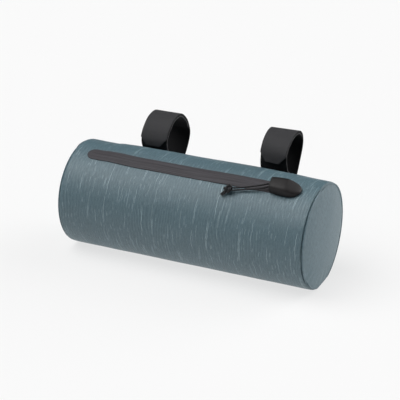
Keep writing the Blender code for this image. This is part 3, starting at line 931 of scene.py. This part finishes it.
def buildKnot():
    # an overhand knot pulled tight: a small trefoil of cord with two short tails
    place = skinMatrix(knot["x"], knot["angle"], knot["lift"])
    spin = Matrix.Rotation(math.radians(knot["turn"]), 4, "Z")
    loops = []
    for t in spaced(0, math.tau, knot["loopSteps"])[:-1]:
        loops.append(Vector((
            math.sin(t) + 2 * math.sin(2 * t),
            math.cos(t) - 2 * math.cos(2 * t),
            -knot["depth"] * math.sin(3 * t),
        )) * knot["size"])
    loops.append(loops[0])
    parts = [curveTube("knotLoop", [place @ spin @ p for p in loops], knot["cordDiameter"], 4)]
    for number, tail in enumerate(knot["tails"]):
        route = [Vector(p) for p in tail]
        steps = knot["tailSteps"] * (len(route) - 1)
        fine = [place @ smoothPoint(route, i / knot["tailSteps"]) for i in range(steps + 1)]
        parts.append(curveTube("knotTail", fine, knot["tailDiameter"], 3))
        parts += frayTail(fine[-1], (fine[-1] - fine[-3]).normalized(), number)
    bm = bmesh.new()
    for mesh in parts:
        bm.from_mesh(mesh)
        bpy.data.meshes.remove(mesh)
    bmesh.ops.remove_doubles(bm, verts=bm.verts, dist=1e-6)
    bmesh.ops.recalc_face_normals(bm, faces=bm.faces[:])
    return meshPiece("pullKnot", bm, [knotMaterial], ["pull_knot"])


knotPiece = buildKnot()
for strandName, key, node in (
    ("pullCordRear", "rear", "pull_cord_rear"),
    ("pullCordFront", "front", "pull_cord_front"),
):
    strand, strandPoints, strandLength = buildCordStrand(strandName, cord[key], node)
    tuple(strandPoints[0])
    [tuple(p) for p in strandPoints]
    print(strandName, "is", round(strandLength, 4), "m long")


# the body of the bag
tube = {
    "around": 216,
    "slotColumns": 4,
    "along": 150,
    "cornerRows": 6,
    # the left end is softer than the right one: corner radius, and how far the cloth stops short
    "leftCorner": (0.0026, 0.0012),
    "rightCorner": (0.0011, 0.0010),
    "wall": 0.0018,
    "rearPull": 0.0042,             # how far the right end is drawn in at its lower back
    "rearPullReach": 0.035,
    "rearPullTowards": -112.0,
    "seamOpenTowards": 70.0,        # the end seams stand open round this angle
    "seamOpenHalf": (45.0, 65.0),   # and close over these angles to either side of it
    "seamClosed": 0.85,             # by this share
    "ripple": 0.00022,              # slow unevenness of the cloth
    "rippleWaves": (26.0, 1.6),     # how close its waves lie, along the bag and round it
    "fineWaves": (70.0, 3.52),      # and those of a finer set with half the depth
    "pucker": 0.00030,              # gathers beside the end seams
    "puckerReach": 0.011,
    "puckerWaves": 9.0,
    "restFrom": (150.0, 162.0),     # over these angles the cloth comes to lie flat on the table
}


def clothRipple(x, angle):
    # how far the cloth lies inside the smooth skin: it never stands out into what lies on it
    turn = math.radians(angle)
    slow = 0.0
    for (along, around), depth, shift in ((tube["rippleWaves"], 1.0, 0), (tube["fineWaves"], 0.5, 5)):
        place = Vector((x * along + shift, math.sin(turn) * around, math.cos(turn) * around))
        slow += depth * noise.noise(place)
    nearSeam = 1 - smoothStep(0.0, tube["puckerReach"], halfLength - abs(x))
    waves = tube["puckerWaves"]
    gather = noise.noise(Vector((math.sin(turn) * waves, math.cos(turn) * waves, 3.0 + math.copysign(2, x))))
    inward = tube["ripple"] * (slow + 0.9) + tube["pucker"] * nearSeam * (gather + 0.6)
    resting = smoothStep(*tube["restFrom"], abs((angle + 180) % 360 - 180))
    return -max(inward, 0.0) * (1 - resting)


def seamOpen(angle):
    turned = abs((angle - tube["seamOpenTowards"] + 180) % 360 - 180)
    return 1 - tube["seamClosed"] * smoothStep(*tube["seamOpenHalf"], turned)


def rearPull(x, angle):
    facing = max(0.0, math.cos(math.radians(angle - tube["rearPullTowards"])))
    return tube["rearPull"] * facing**2 * smoothStep(halfLength - tube["rearPullReach"], halfLength, x)


def tubeEnd(side, corner):
    # (x, inset) over the rounded edge of one end, from the lip inwards
    radius, short = corner
    rows = []
    for degrees in spaced(0, 90, tube["cornerRows"]):
        turn = math.radians(degrees)
        x = halfLength - short - radius * (1 - math.cos(turn))
        rows.append((side * x, radius * (1 - math.sin(turn))))
    return rows


def tubeRows():
    # (x, inset) from the left lip over the straight part to the right lip, and the path along them
    left = tubeEnd(-1, tube["leftCorner"])
    right = tubeEnd(1, tube["rightCorner"])[::-1]
    straight = [(x, 0.0) for x in spaced(left[-1][0], right[0][0], tube["along"])][1:-1]
    rows = left + straight + right
    path = [0.0]
    for a, b in zip(rows, rows[1:]):
        path.append(path[-1] + math.hypot(b[0] - a[0], b[1] - a[1]))
    return rows, path


def buildTube():
    rows, path = tubeRows()
    halfSlot = arcAngle(bagZip["slotWidth"]) / 2
    slotSide = bagZip["angle"] + halfSlot
    angles = spaced(slotSide, slotSide + 360 - 2 * halfSlot, tube["around"] - tube["slotColumns"])
    angles += spaced(angles[-1], slotSide + 360, tube["slotColumns"])[1:]

    def place(column, row):
        x, inset = rows[row]
        angle = angles[column % tube["around"]]
        if inset > 0:
            closing = 1 - seamOpen(angle)
            x += math.copysign(tube["rightCorner" if x > 0 else "leftCorner"][1] * closing, x)
        return onSkin(x, angle, clothRipple(x, angle) - inset - rearPull(x, angle))

    def uvPlace(column, row):
        return (path[row], math.radians(angles[column]) * bagRadius)

    bm = gridMesh(tube["around"], len(rows) - 1, place, uvPlace, mergeSides=True)
    slotStart = bagZip["leftEnd"] + bagZip["slotInset"]
    slotEnd = garage["leftEnd"] + garage["mouthDepth"]
    inSlot = []
    for face in bm.faces:
        centre = face.calc_center_median()
        angle = math.degrees(math.atan2(-centre.y, centre.z - axisHeight))
        if slotStart < centre.x < slotEnd and abs(angle - bagZip["angle"]) < halfSlot:
            inSlot.append(face)
    bmesh.ops.delete(bm, geom=inSlot, context="FACES")
    faceAway(bm, Vector((0, 0, axisHeight)))
    addWall(meshPiece("bodyTube", bm, [bodyMaterial], ["body_tube"]), tube["wall"])


endPanel = {
    "rim": 0.0542,           # radius of the panel at its widest, just outside the seam
    "widestAt": 0.0004,      # and how far beyond the half length of the bag that is
    "dome": 0.0045,          # the panel's slow swell
    "crown": 0.0013,         # and how far it rises over its rounded shoulder
    "shoulder": 7.0,         # a higher number makes the shoulder tighter
    "grooveDepth": 0.0024,   # the panel turns back into the seam
    "grooveWidth": 0.0014,
    "flange": 0.0085,        # and runs on under the tube's cloth
    "leftSink": 0.0009,      # the left panel sits deeper in its softer seam
    "leftTighter": 0.0004,
    "around": 192,
    "discRings": 18,
    "shoulderRings": 16,
    "shoulderStart": 0.78,
    "grooveRings": 6,
    "wall": 0.0016,
    "ripple": 0.00030,       # slow unevenness, and how close its waves lie
    "rippleWaves": 34.0,
    "pucker": 0.00040,       # gathers towards the seam, from one share of the radius to another
    "puckerWaves": 7.0,
    "puckerFrom": (0.62, 0.90),
    "smoothFrom": (1.0, 0.92),    # both fade out from the second share of the radius to the first
}


def panelProfile():
    # (x, radius) from the middle of the panel over its shoulder into the seam
    rim = endPanel["rim"]
    base = halfLength + endPanel["widestAt"]
    start = endPanel["shoulderStart"]
    shares = spaced(0.0, start, endPanel["discRings"])
    for degrees in spaced(0, 90, endPanel["shoulderRings"])[1:]:
        shares.append(start + (1 - start) * math.sin(math.radians(degrees)))
    rows = []
    for share in shares:
        crown = endPanel["crown"] * math.sqrt(max(0.0, 1 - share ** endPanel["shoulder"]))
        rows.append((base + endPanel["dome"] * (1 - share**2) + crown, rim * share))
    for degrees in spaced(0, 90, endPanel["grooveRings"])[1:]:
        turn = math.radians(degrees)
        rows.append((
            base - endPanel["grooveWidth"] * math.sin(turn),
            rim - endPanel["grooveDepth"] * (1 - math.cos(turn)),
        ))
    rows.append((halfLength - endPanel["flange"], rim - endPanel["grooveDepth"] - bag["gap"]))
    return rows


def buildEndPanel(name, side, node):
    # the profile spun round the bag's axis, then fitted to the bag's skin
    rim = endPanel["rim"]
    base = halfLength + endPanel["widestAt"]
    bm = bmesh.new()
    verts = [bm.verts.new((x, 0, radius)) for x, radius in panelProfile()]
    edges = [bm.edges.new(pair) for pair in zip(verts, verts[1:])]
    bmesh.ops.spin(
        bm, geom=verts + edges, cent=(0, 0, 0), axis=(1, 0, 0), angle=math.tau,
        steps=endPanel["around"], use_merge=True,
    )
    bmesh.ops.remove_doubles(bm, verts=bm.verts, dist=1e-6)
    uvLayer = bm.loops.layers.uv.new("UVMap")
    middle = Vector((side * halfLength, 0, axisHeight))
    for vert in bm.verts:
        x, y, z = vert.co
        share = math.hypot(y, z) / rim
        turn = math.atan2(-y, z)
        angle = math.degrees(turn)
        if base - endPanel["grooveWidth"] * 1.01 < x < base:
            # a ring of the seam's groove
            x = base + (x - base) * seamOpen(angle)
            share = 1 + (share - 1) * seamOpen(angle)
        tighter = rearPull(side * halfLength, angle) + (endPanel["leftTighter"] if side < 0 else 0)
        edge = onSkin(side * halfLength, angle, rim - bagRadius - tighter)
        placed = middle + (edge - middle) * share
        waves = endPanel["rippleWaves"]
        slow = noise.noise(Vector((y * waves, z * waves, side * 4.0)))
        waves = endPanel["puckerWaves"]
        gather = noise.noise(Vector((math.sin(turn) * waves, math.cos(turn) * waves, side * 7.0)))
        onFace = smoothStep(*endPanel["smoothFrom"], share)
        nearSeam = smoothStep(*endPanel["puckerFrom"], share) * onFace
        lift = endPanel["ripple"] * (slow - 0.2) * onFace + endPanel["pucker"] * nearSeam * (gather - 0.2)
        sink = endPanel["leftSink"] if side < 0 else 0
        vert.co = Vector((side * (x + lift - sink), placed.y, placed.z))
    for face in bm.faces:
        for loop in face.loops:
            loop[uvLayer].uv = (loop.vert.co.y, loop.vert.co.z)
    faceAway(bm, Vector((0, 0, axisHeight)))
    addWall(meshPiece(name, bm, [endMaterial], [node]), endPanel["wall"])


buildTube()
buildEndPanel("endPanelLeft", -1, "end_cap_left")
buildEndPanel("endPanelRight", 1, "end_cap_right")
print("body made")

# the covered zip
tapeLook = {
    "across": 36,
    "along": 140,
    "roundRows": 12,        # over the round left end, which begins this many degrees from its tip
    "roundFrom": 10.0,
    "edgeRadius": 0.0008,
    "edgeLift": 0.00012,    # the cover is nearly flush with the cloth
    "bodyLift": 0.00032,
    "coilLift": 0.00022,    # the teeth lift the cover
    "coilReach": (0.0039, 0.00156),    # from the first distance to the middle line, and fully at the second
    "seamHalf": 0.00028,    # the fine line where the two covers meet
    "seamDepth": 0.00030,
    "liftsFrom": (0.004, 0.014),    # how far from the left end the teeth begin to show, and show fully
    "wall": 0.00054,
}


def buildZipCover():
    half = bagZip["width"] / 2
    rightEnd = garage["leftEnd"] + garage["mouthDepth"] - bag["gap"]
    rows = []
    for degrees in spaced(tapeLook["roundFrom"], 90, tapeLook["roundRows"]):
        turn = math.radians(degrees)
        rows.append((bagZip["leftEnd"] + half * (1 - math.cos(turn)), half * math.sin(turn)))
    rows += [(x, half) for x in spaced(bagZip["leftEnd"] + half, rightEnd, tapeLook["along"])[1:]]

    def place(column, row):
        x, reach = rows[row]
        share = column / tapeLook["across"] * 2 - 1
        across = share * reach
        fromEdge = reach * (1 - abs(share))
        rounded = math.sqrt(max(0.0, 1 - (1 - min(fromEdge / tapeLook["edgeRadius"], 1.0)) ** 2))
        lift = tapeLook["edgeLift"] + tapeLook["bodyLift"] * rounded
        shows = smoothStep(*tapeLook["liftsFrom"], x - bagZip["leftEnd"])
        coil = smoothStep(*tapeLook["coilReach"], abs(across))
        seam = smoothStep(tapeLook["seamHalf"], 0.0, abs(across))
        lift += (tapeLook["coilLift"] * coil - tapeLook["seamDepth"] * seam) * shows
        return onSkin(x, zipAngle(x) + arcAngle(across), lift)

    def uvPlace(column, row):
        x, reach = rows[row]
        return (x, (column / tapeLook["across"] * 2 - 1) * reach)

    bm = gridMesh(tapeLook["across"], len(rows) - 1, place, uvPlace)
    faceAway(bm, Vector((0, 0, axisHeight)))
    addWall(meshPiece("zipCover", bm, [tapeMaterial], ["zip_tape"]), tapeLook["wall"])


buildZipCover()

# the garage over the zip's right end
garageLook = {
    "across": 40,
    "along": 60,
    "widening": 0.0016,     # the moulding's soft side spreads this far over the cloth in front
    "shortening": 0.0010,
    "tipSink": 0.0007,      # the closed end lies down on the cloth
    "tipSinkOver": (0.4, 0.9),    # over these shares of the length
    "mouthSlant": 0.0018,   # the front corner of the mouth stands back by this much
    "hoodRise": 0.0006,     # the soft hood bulges over its solid
    "fullness": 5,          # a higher number makes the hood's section squarer
    "shoulder": 0.6,
    "softEdge": 0.0012,     # width over which the tongue thins out to its edge, and by what share
    "thinning": 0.28,
    "tipCrowding": 1.25,    # rows crowd towards the round tip
    "wall": 0.00171,
    "rounding": 0.0004,
}


def sectionOf(share, column):
    # a smooth line through the table's values
    rows = [(row[0], row[column]) for row in garage["sections"]]
    place = 0
    while place < len(rows) - 2 and share > rows[place + 1][0]:
        place += 1
    before, low, high, after = (rows[min(max(i, 0), len(rows) - 1)] for i in range(place - 1, place + 3))
    width = high[0] - low[0]
    part = min(max((share - low[0]) / width, 0.0), 1.0)
    leaving = (high[1] - before[1]) / (high[0] - before[0]) * width
    arriving = (after[1] - low[1]) / (after[0] - low[0]) * width
    rise = high[1] - low[1]
    bend = leaving * part * (1 - part) ** 2 - arriving * part**2 * (1 - part)
    return low[1] + rise * part**2 * (3 - 2 * part) + bend


def hoodSwell(share):
    share = min(abs(share), 1.0)
    return (1 - share ** garageLook["fullness"]) ** garageLook["shoulder"]


def buildGarage():
    def place(column, row):
        share = 1 - (1 - row / garageLook["along"]) ** garageLook["tipCrowding"]
        x = garage["leftEnd"] + (garage["length"] - garageLook["shortening"]) * share
        halfWidth = (garage["width"] + garageLook["widening"]) / 2 * sectionOf(share, 1)
        across = math.sin((column / garageLook["across"] * 2 - 1) * math.pi / 2)
        offset = halfWidth * across
        x += garageLook["mouthSlant"] * (1 - share) * (1 + across) / 2
        swell = hoodSwell(across) * (garage["hoodHeight"] + garageLook["hoodRise"] - garage["edge"])
        fromEdge = halfWidth * (1 - abs(across))
        thinned = garageLook["thinning"] * (1 - math.sqrt(min(fromEdge / garageLook["softEdge"], 1.0)))
        lift = bag["gap"] + garage["edge"] * (1 - thinned) + swell * sectionOf(share, 2)
        lift -= garageLook["tipSink"] * smoothStep(*garageLook["tipSinkOver"], share)
        return onSkin(x, zipAngle(x) + arcAngle(offset + garageLook["widening"] / 2), lift)

    def uvPlace(column, row):
        return (column / garageLook["across"], row / garageLook["along"])

    bm = gridMesh(garageLook["across"], garageLook["along"], place, uvPlace)
    faceAway(bm, Vector((0, 0, axisHeight)))
    obj = meshPiece("zipGarage", bm, [rubberMaterial], ["zip_garage"])
    addWall(obj, garageLook["wall"])
    addRounding(obj, garageLook["rounding"])


buildGarage()

# the slider under the hood
slider = {
    "length": 0.0078,
    "width": 0.0070,
    "thickness": 0.0016,
    "setback": 0.0030,
    "bridgeLength": 0.0046,
    "bridgeWidth": 0.0020,
    "bridgeHeight": 0.0012,
    "rounding": 0.00035,
    "narrowing": 0.72,      # it narrows towards the teeth that it has closed
}


def buildSlider():
    base = bag["gap"] * 2 + bagZip["thickness"]
    x = garage["leftEnd"] + slider["setback"] + slider["length"] / 2
    bm = bmesh.new()
    # length, width and height of the body and of the bridge on it, and where each stands
    blocks = [
        (slider["length"], slider["width"], slider["thickness"], 0.0),
        (slider["bridgeLength"], slider["bridgeWidth"], slider["bridgeHeight"], slider["thickness"]),
    ]
    for length, width, height, foot in blocks:
        made = bmesh.ops.create_cube(bm, size=1.0)
        bmesh.ops.scale(bm, vec=(length, width, height), verts=made["verts"])
        bmesh.ops.translate(bm, vec=(0, 0, foot + height / 2), verts=made["verts"])
    for vert in bm.verts:
        if vert.co.x > 0 and vert.co.z < slider["thickness"]:
            vert.co.y *= slider["narrowing"]
    bmesh.ops.bevel(
        bm, geom=bm.edges[:], offset=slider["rounding"], segments=3, affect="EDGES", profile=0.5, material=-1
    )
    bmesh.ops.transform(bm, matrix=skinMatrix(x, zipAngle(x), base), verts=bm.verts)
    bmesh.ops.recalc_face_normals(bm, faces=bm.faces[:])
    meshPiece("zipSlider", bm, [metalMaterial], ["zip_slider"])


buildSlider()
print("zip made")

# the straps
strapCloth = {
    "width": 0.0295,
    "thickness": 0.0015,
    "backing": 0.0005,
    "seatAngle": -54.0,
    "lyingSteps": 2,
    "tabLength": 0.0085,    # the end tab narrows over this length, by this much on each side
    "tabCorner": 0.0072,
    "tabFlare": 0.0018,     # and stands off by this much, over so many points of the outline
    "tabTurn": 1.4,
    "easing": 2.2,          # points over which the inner end moves in under the outer one
    "across": 10,
    "stepsPerPoint": 10,
    "slopeStep": 0.02,      # points to either side from which the outline's direction is taken
    "rounding": 0.00016,
}
straps = {
    "Left": {
        "node": "strap_left",
        "x": -0.0679,
        "depth": 0.0575,
        "rise": 0.0449,
        "rearFoot": -64.0,
        "frontFoot": -44.0,
        # back as a share of depth, up as a share of rise, twist
        "outline": [
            (0.36, -0.26, 0.00),
            (0.55, -0.12, 0.00),
            (0.70, 0.14, 0.00),
            (0.755, 0.35, 0.00),
            (0.715, 0.54, 0.00),
            (0.60, 0.77, 0.00),
            (0.37, 0.970, 0.02),
            (0.09, 0.945, 0.03),
            (-0.12, 0.765, 0.04),
            (-0.235, 0.54, 0.02),
            (-0.215, 0.35, 0.00),
        ],
        # as shares of the closed outline: where the inner end begins and where the tab ends
        "innerStart": 0.43,
        "tabEnd": 0.797,
    },
    "Right": {
        "node": "strap_right",
        "x": 0.0685,
        "depth": 0.0428,
        "rise": 0.0492,
        "rearFoot": -61.2,
        "frontFoot": -35.5,
        "outline": [
            (0.28, 0.04, 0.00),
            (0.44, 0.28, 0.00),
            (0.56, 0.50, 0.04),
            (0.60, 0.68, 0.08),
            (0.54, 0.87, 0.08),
            (0.33, 0.995, 0.06),
            (0.05, 0.985, 0.00),
            (-0.22, 0.87, -0.10),
            (-0.38, 0.70, -0.14),
            (-0.41, 0.52, -0.10),
            (-0.37, 0.40, -0.04),
        ],
        "innerStart": 0.4125,
        "tabEnd": 0.766,
    },
}


def strapOutline(strap):
    def lying(angle):
        p = onSkin(strap["x"], angle, bag["gap"])
        return Vector((p.y, p.z, 0))

    steps = strapCloth["lyingSteps"]
    seat = onSkin(strap["x"], strapCloth["seatAngle"])
    points = [lying(angle) for angle in spaced(strapCloth["seatAngle"], strap["rearFoot"], steps)]
    for back, up, twist in strap["outline"]:
        points.append(Vector((seat.y + back * strap["depth"], seat.z + up * strap["rise"], twist)))
    returning = spaced(strap["frontFoot"], strapCloth["seatAngle"], steps)[:-1]
    return points + [lying(angle) for angle in returning]


def offTheSkin(strap, y, z):
    height = z - axisHeight
    angle = math.degrees(math.atan2(-y, height))
    half = strapCloth["width"] / 2
    nearest = max(skinRadius(strap["x"] + side * half, angle) for side in (-1, 0, 1)) + bag["gap"]
    push = max(1.0, nearest / math.hypot(y, height))
    return y * push, axisHeight + height * push


def strapPlace(strap, outline, position, last, depth):
    # (y, z, twist) of the strap's face at a place along it, sunk by depth towards the loop's inside
    here = smoothPoint(outline, position, closed=True)
    ahead = smoothPoint(outline, position + strapCloth["slopeStep"], closed=True)
    behind = smoothPoint(outline, position - strapCloth["slopeStep"], closed=True)
    along = Vector((ahead.x - behind.x, ahead.y - behind.y)).normalized()
    outward = Vector((along.y, -along.x))
    moved = smoothStep(0.0, strapCloth["easing"], -strapCloth["lyingSteps"] - position)
    offset = -(strapCloth["thickness"] + bag["gap"]) * moved
    flare = min(max((position - last + strapCloth["tabTurn"]) / strapCloth["tabTurn"], 0.0), 1.0)
    offset += strapCloth["tabFlare"] * flare * flare
    y, z = offTheSkin(strap, here.x + outward.x * offset, here.y + outward.y * offset)
    return y - outward.x * depth, z - outward.y * depth, here.z


def buildStrapLayer(name, strap, start, end, last, depths, materials, replaced=()):
    # one ply between two depths, from one point of the outline to another
    outline = strapOutline(strap)
    steps = max(4, round((end - start) * strapCloth["stepsPerPoint"]))
    positions = spaced(start, end, steps)
    centre = [strapPlace(strap, outline, p, last, depths[0]) for p in positions]
    path = [0.0]
    for a, b in zip(centre, centre[1:]):
        path.append(path[-1] + math.hypot(b[0] - a[0], b[1] - a[1]))
    half = strapCloth["width"] / 2
    corner = strapCloth["tabCorner"] if end == last else 0.0
    halves = [half - corner * max(0.0, 1 - (path[-1] - length) / strapCloth["tabLength"]) for length in path]

    def place(column, row):
        share = column / strapCloth["across"] * 2 - 1
        y, z, twist = centre[row]
        across = share * halves[row]
        return Vector((strap["x"] + across, y + twist * across, z))

    def uvPlace(column, row):
        share = column / strapCloth["across"] * 2 - 1
        return (share * halves[row], path[row])

    bm = gridMesh(strapCloth["across"], steps, place, uvPlace)
    bm.normal_update()
    highest = max(bm.faces, key=lambda f: f.calc_center_median().z)
    if highest.normal.z < 0:
        bmesh.ops.reverse_faces(bm, faces=bm.faces[:])
    obj = meshPiece(name, bm, materials, replaced)
    addWall(obj, depths[1] - depths[0], even=False)
    obj.modifiers["wall"].material_offset_rim = len(materials) - 1
    addRounding(obj, strapCloth["rounding"])


def buildStrap(side):
    strap = straps[side]
    count = len(strapOutline(strap))
    first = strap["innerStart"] * count - count
    last = strap["tabEnd"] * count
    thick, backing = strapCloth["thickness"], strapCloth["backing"]
    # name, start, end, depths and materials of each ply: the strap turns over at the seat
    plies = (
        ("Outer", 0.0, last, (0.0, backing), [backingMaterial], [strap["node"]]),
        ("Hooks", 0.0, last, (backing, thick), [hookMaterial], []),
        ("Loops", first, 0.0, (0.0, thick - backing), [hookMaterial], []),
        ("Inner", first, 0.0, (thick - backing, thick), [hookMaterial, edgeMaterial], []),
    )
    for ply, start, end, depths, faces, replaced in plies:
        buildStrapLayer(f"strap{side}{ply}", strap, start, end, last, depths, faces, replaced)


# the keepers that hold the straps on the bag
keeper = {
    "width": 0.0110,
    "end": 0.0090,
    "ramp": 0.0030,
    "thickness": 0.0014,
    "ease": 0.0007,
    "columns": 8,
    "rows": 60,
    "rounding": 0.0002,
    "stitchPitch": 0.0016,
    "stitchInset": 0.0014,
    "threadDiameter": 0.0004,
    "stitchShare": 0.8,      # of the pitch is thread, which lies a little flat
    "stitchFlatness": 0.8,
}


def keeperProfile():
    overStrap = bag["gap"] + strapCloth["thickness"] + keeper["ease"]
    halfStrap = strapCloth["width"] / 2 + bag["gap"] * 2
    foot = halfStrap + keeper["ramp"]
    rows = []
    for x in spaced(-foot - keeper["end"], foot + keeper["end"], keeper["rows"]):
        rise = smoothStep(foot, halfStrap, abs(x))
        rows.append((x, bag["gap"] + (overStrap - bag["gap"]) * rise))
    return rows, foot


def buildKeeper(side):
    strap = straps[side]
    rows, foot = keeperProfile()
    columns = keeper["columns"]

    def place(column, row):
        x, lift = rows[row]
        angle = strapCloth["seatAngle"] + arcAngle(keeper["width"]) * (column / columns - 0.5)
        return onSkin(strap["x"] + x, angle, lift)

    def uvPlace(column, row):
        return (rows[row][0], keeper["width"] * column / columns)

    bm = gridMesh(columns, len(rows) - 1, place, uvPlace)
    faceAway(bm, Vector((strap["x"], 0, axisHeight)))
    obj = meshPiece(f"keeper{side}", bm, [webbingMaterial], [f"keeper_{side.lower()}"])
    addWall(obj, keeper["thickness"], 1.0)
    addRounding(obj, keeper["rounding"])
    buildStitches(side, strap["x"], foot)


def buildStitches(side, middle, foot):
    # a box of stitches at each end of the keeper
    bm = bmesh.new()
    halfWidth = keeper["width"] / 2 - keeper["stitchInset"]
    near, far = foot + keeper["stitchInset"], foot + keeper["end"] - keeper["stitchInset"]
    radius = keeper["threadDiameter"] / 2
    stretch = (keeper["stitchPitch"] * keeper["stitchShare"] / (2 * radius), 1, keeper["stitchFlatness"])
    for end in (-1, 1):
        corners = [(near, -halfWidth), (far, -halfWidth), (far, halfWidth), (near, halfWidth)]
        for (ax, ay), (bx, by) in zip(corners, corners[1:] + corners[:1]):
            count = max(1, round(math.hypot(bx - ax, by - ay) / keeper["stitchPitch"]))
            for i in range(count):
                share = (i + 0.5) / count
                x = middle + end * (ax + (bx - ax) * share)
                across = ay + (by - ay) * share
                angle = strapCloth["seatAngle"] + arcAngle(across)
                matrix = skinMatrix(x, angle, bag["gap"] + keeper["thickness"])
                turned = Matrix.Rotation(math.atan2(by - ay, end * (bx - ax)), 4, "Z")
                verts = bmesh.ops.create_uvsphere(bm, u_segments=8, v_segments=5, radius=radius)["verts"]
                bmesh.ops.scale(bm, vec=stretch, verts=verts)
                bmesh.ops.transform(bm, matrix=matrix @ turned, verts=verts)
    meshPiece(f"keeperStitches{side}", bm, [threadMaterial])


for strapSide in ("Left", "Right"):
    buildStrap(strapSide)
    buildKeeper(strapSide)
print("straps made")

# floor, light and world
studio = {
    "floor": 0.20,
    "speckle": 0.985,        # the floor's darker specks, as a share of its tone
    "floorGlow": 0.70,       # the floor is a lit table, so the shadow on it stays pale
    "floorSize": 12.0,
    # direction towards each soft light, the cosines where it begins and is full, and its strength
    "lights": [
        ((-0.42, -0.26, 0.87), 0.80, 0.97, 4.90),
        ((0.62, 0.60, 0.52), 0.80, 0.97, 2.40),
        ((0.95, 0.05, 0.30), 0.80, 0.97, 0.20),
        ((0.60, 0.75, 0.30), 0.80, 0.97, 1.40),
    ],
}


def buildStudio():
    bm = bmesh.new()
    bmesh.ops.create_grid(bm, x_segments=1, y_segments=1, size=studio["floorSize"] / 2)
    mesh = bpy.data.meshes.new("floor")
    bm.to_mesh(mesh)
    bm.free()
    material, tree, shader = newMaterial(
        "paleFloor", Roughness=0.9, Specular_IOR_Level=0.0, Emission_Strength=studio["floorGlow"]
    )
    shader.inputs["Emission Color"].default_value = (1.0, 1.0, 1.0, 1.0)
    speckle = noiseValue(tree, objectVector(tree), 900.0, 1.0)
    white = (studio["floor"],) * 3
    colour = mixed(tree, speckle, white, tuple(c * studio["speckle"] for c in white))
    tree.links.new(colour, shader.inputs["Base Color"])
    mesh.materials.append(material)
    floor = bpy.data.objects.new("floor", mesh)
    scene.collection.objects.link(floor)

    world = bpy.data.worlds.new("softStudio")
    scene.world = world
    world.use_nodes = True
    tree = world.node_tree
    background = tree.nodes["Background"]
    direction = addNode(tree, "ShaderNodeTexCoord").outputs["Generated"]
    level = 0.0
    for towards, begins, full, strength in studio["lights"]:
        cosine = vectorCalc(tree, "DOT_PRODUCT", direction, Vector(towards).normalized())
        level = calc(tree, "ADD", level, ranged(tree, cosine, begins, full, 0.0, strength))
    tree.links.new(level, background.inputs["Strength"])
    background.inputs["Color"].default_value = (1.0, 1.0, 1.0, 1.0)


buildStudio()
scene.view_settings.view_transform = "Standard"
print("studio made")
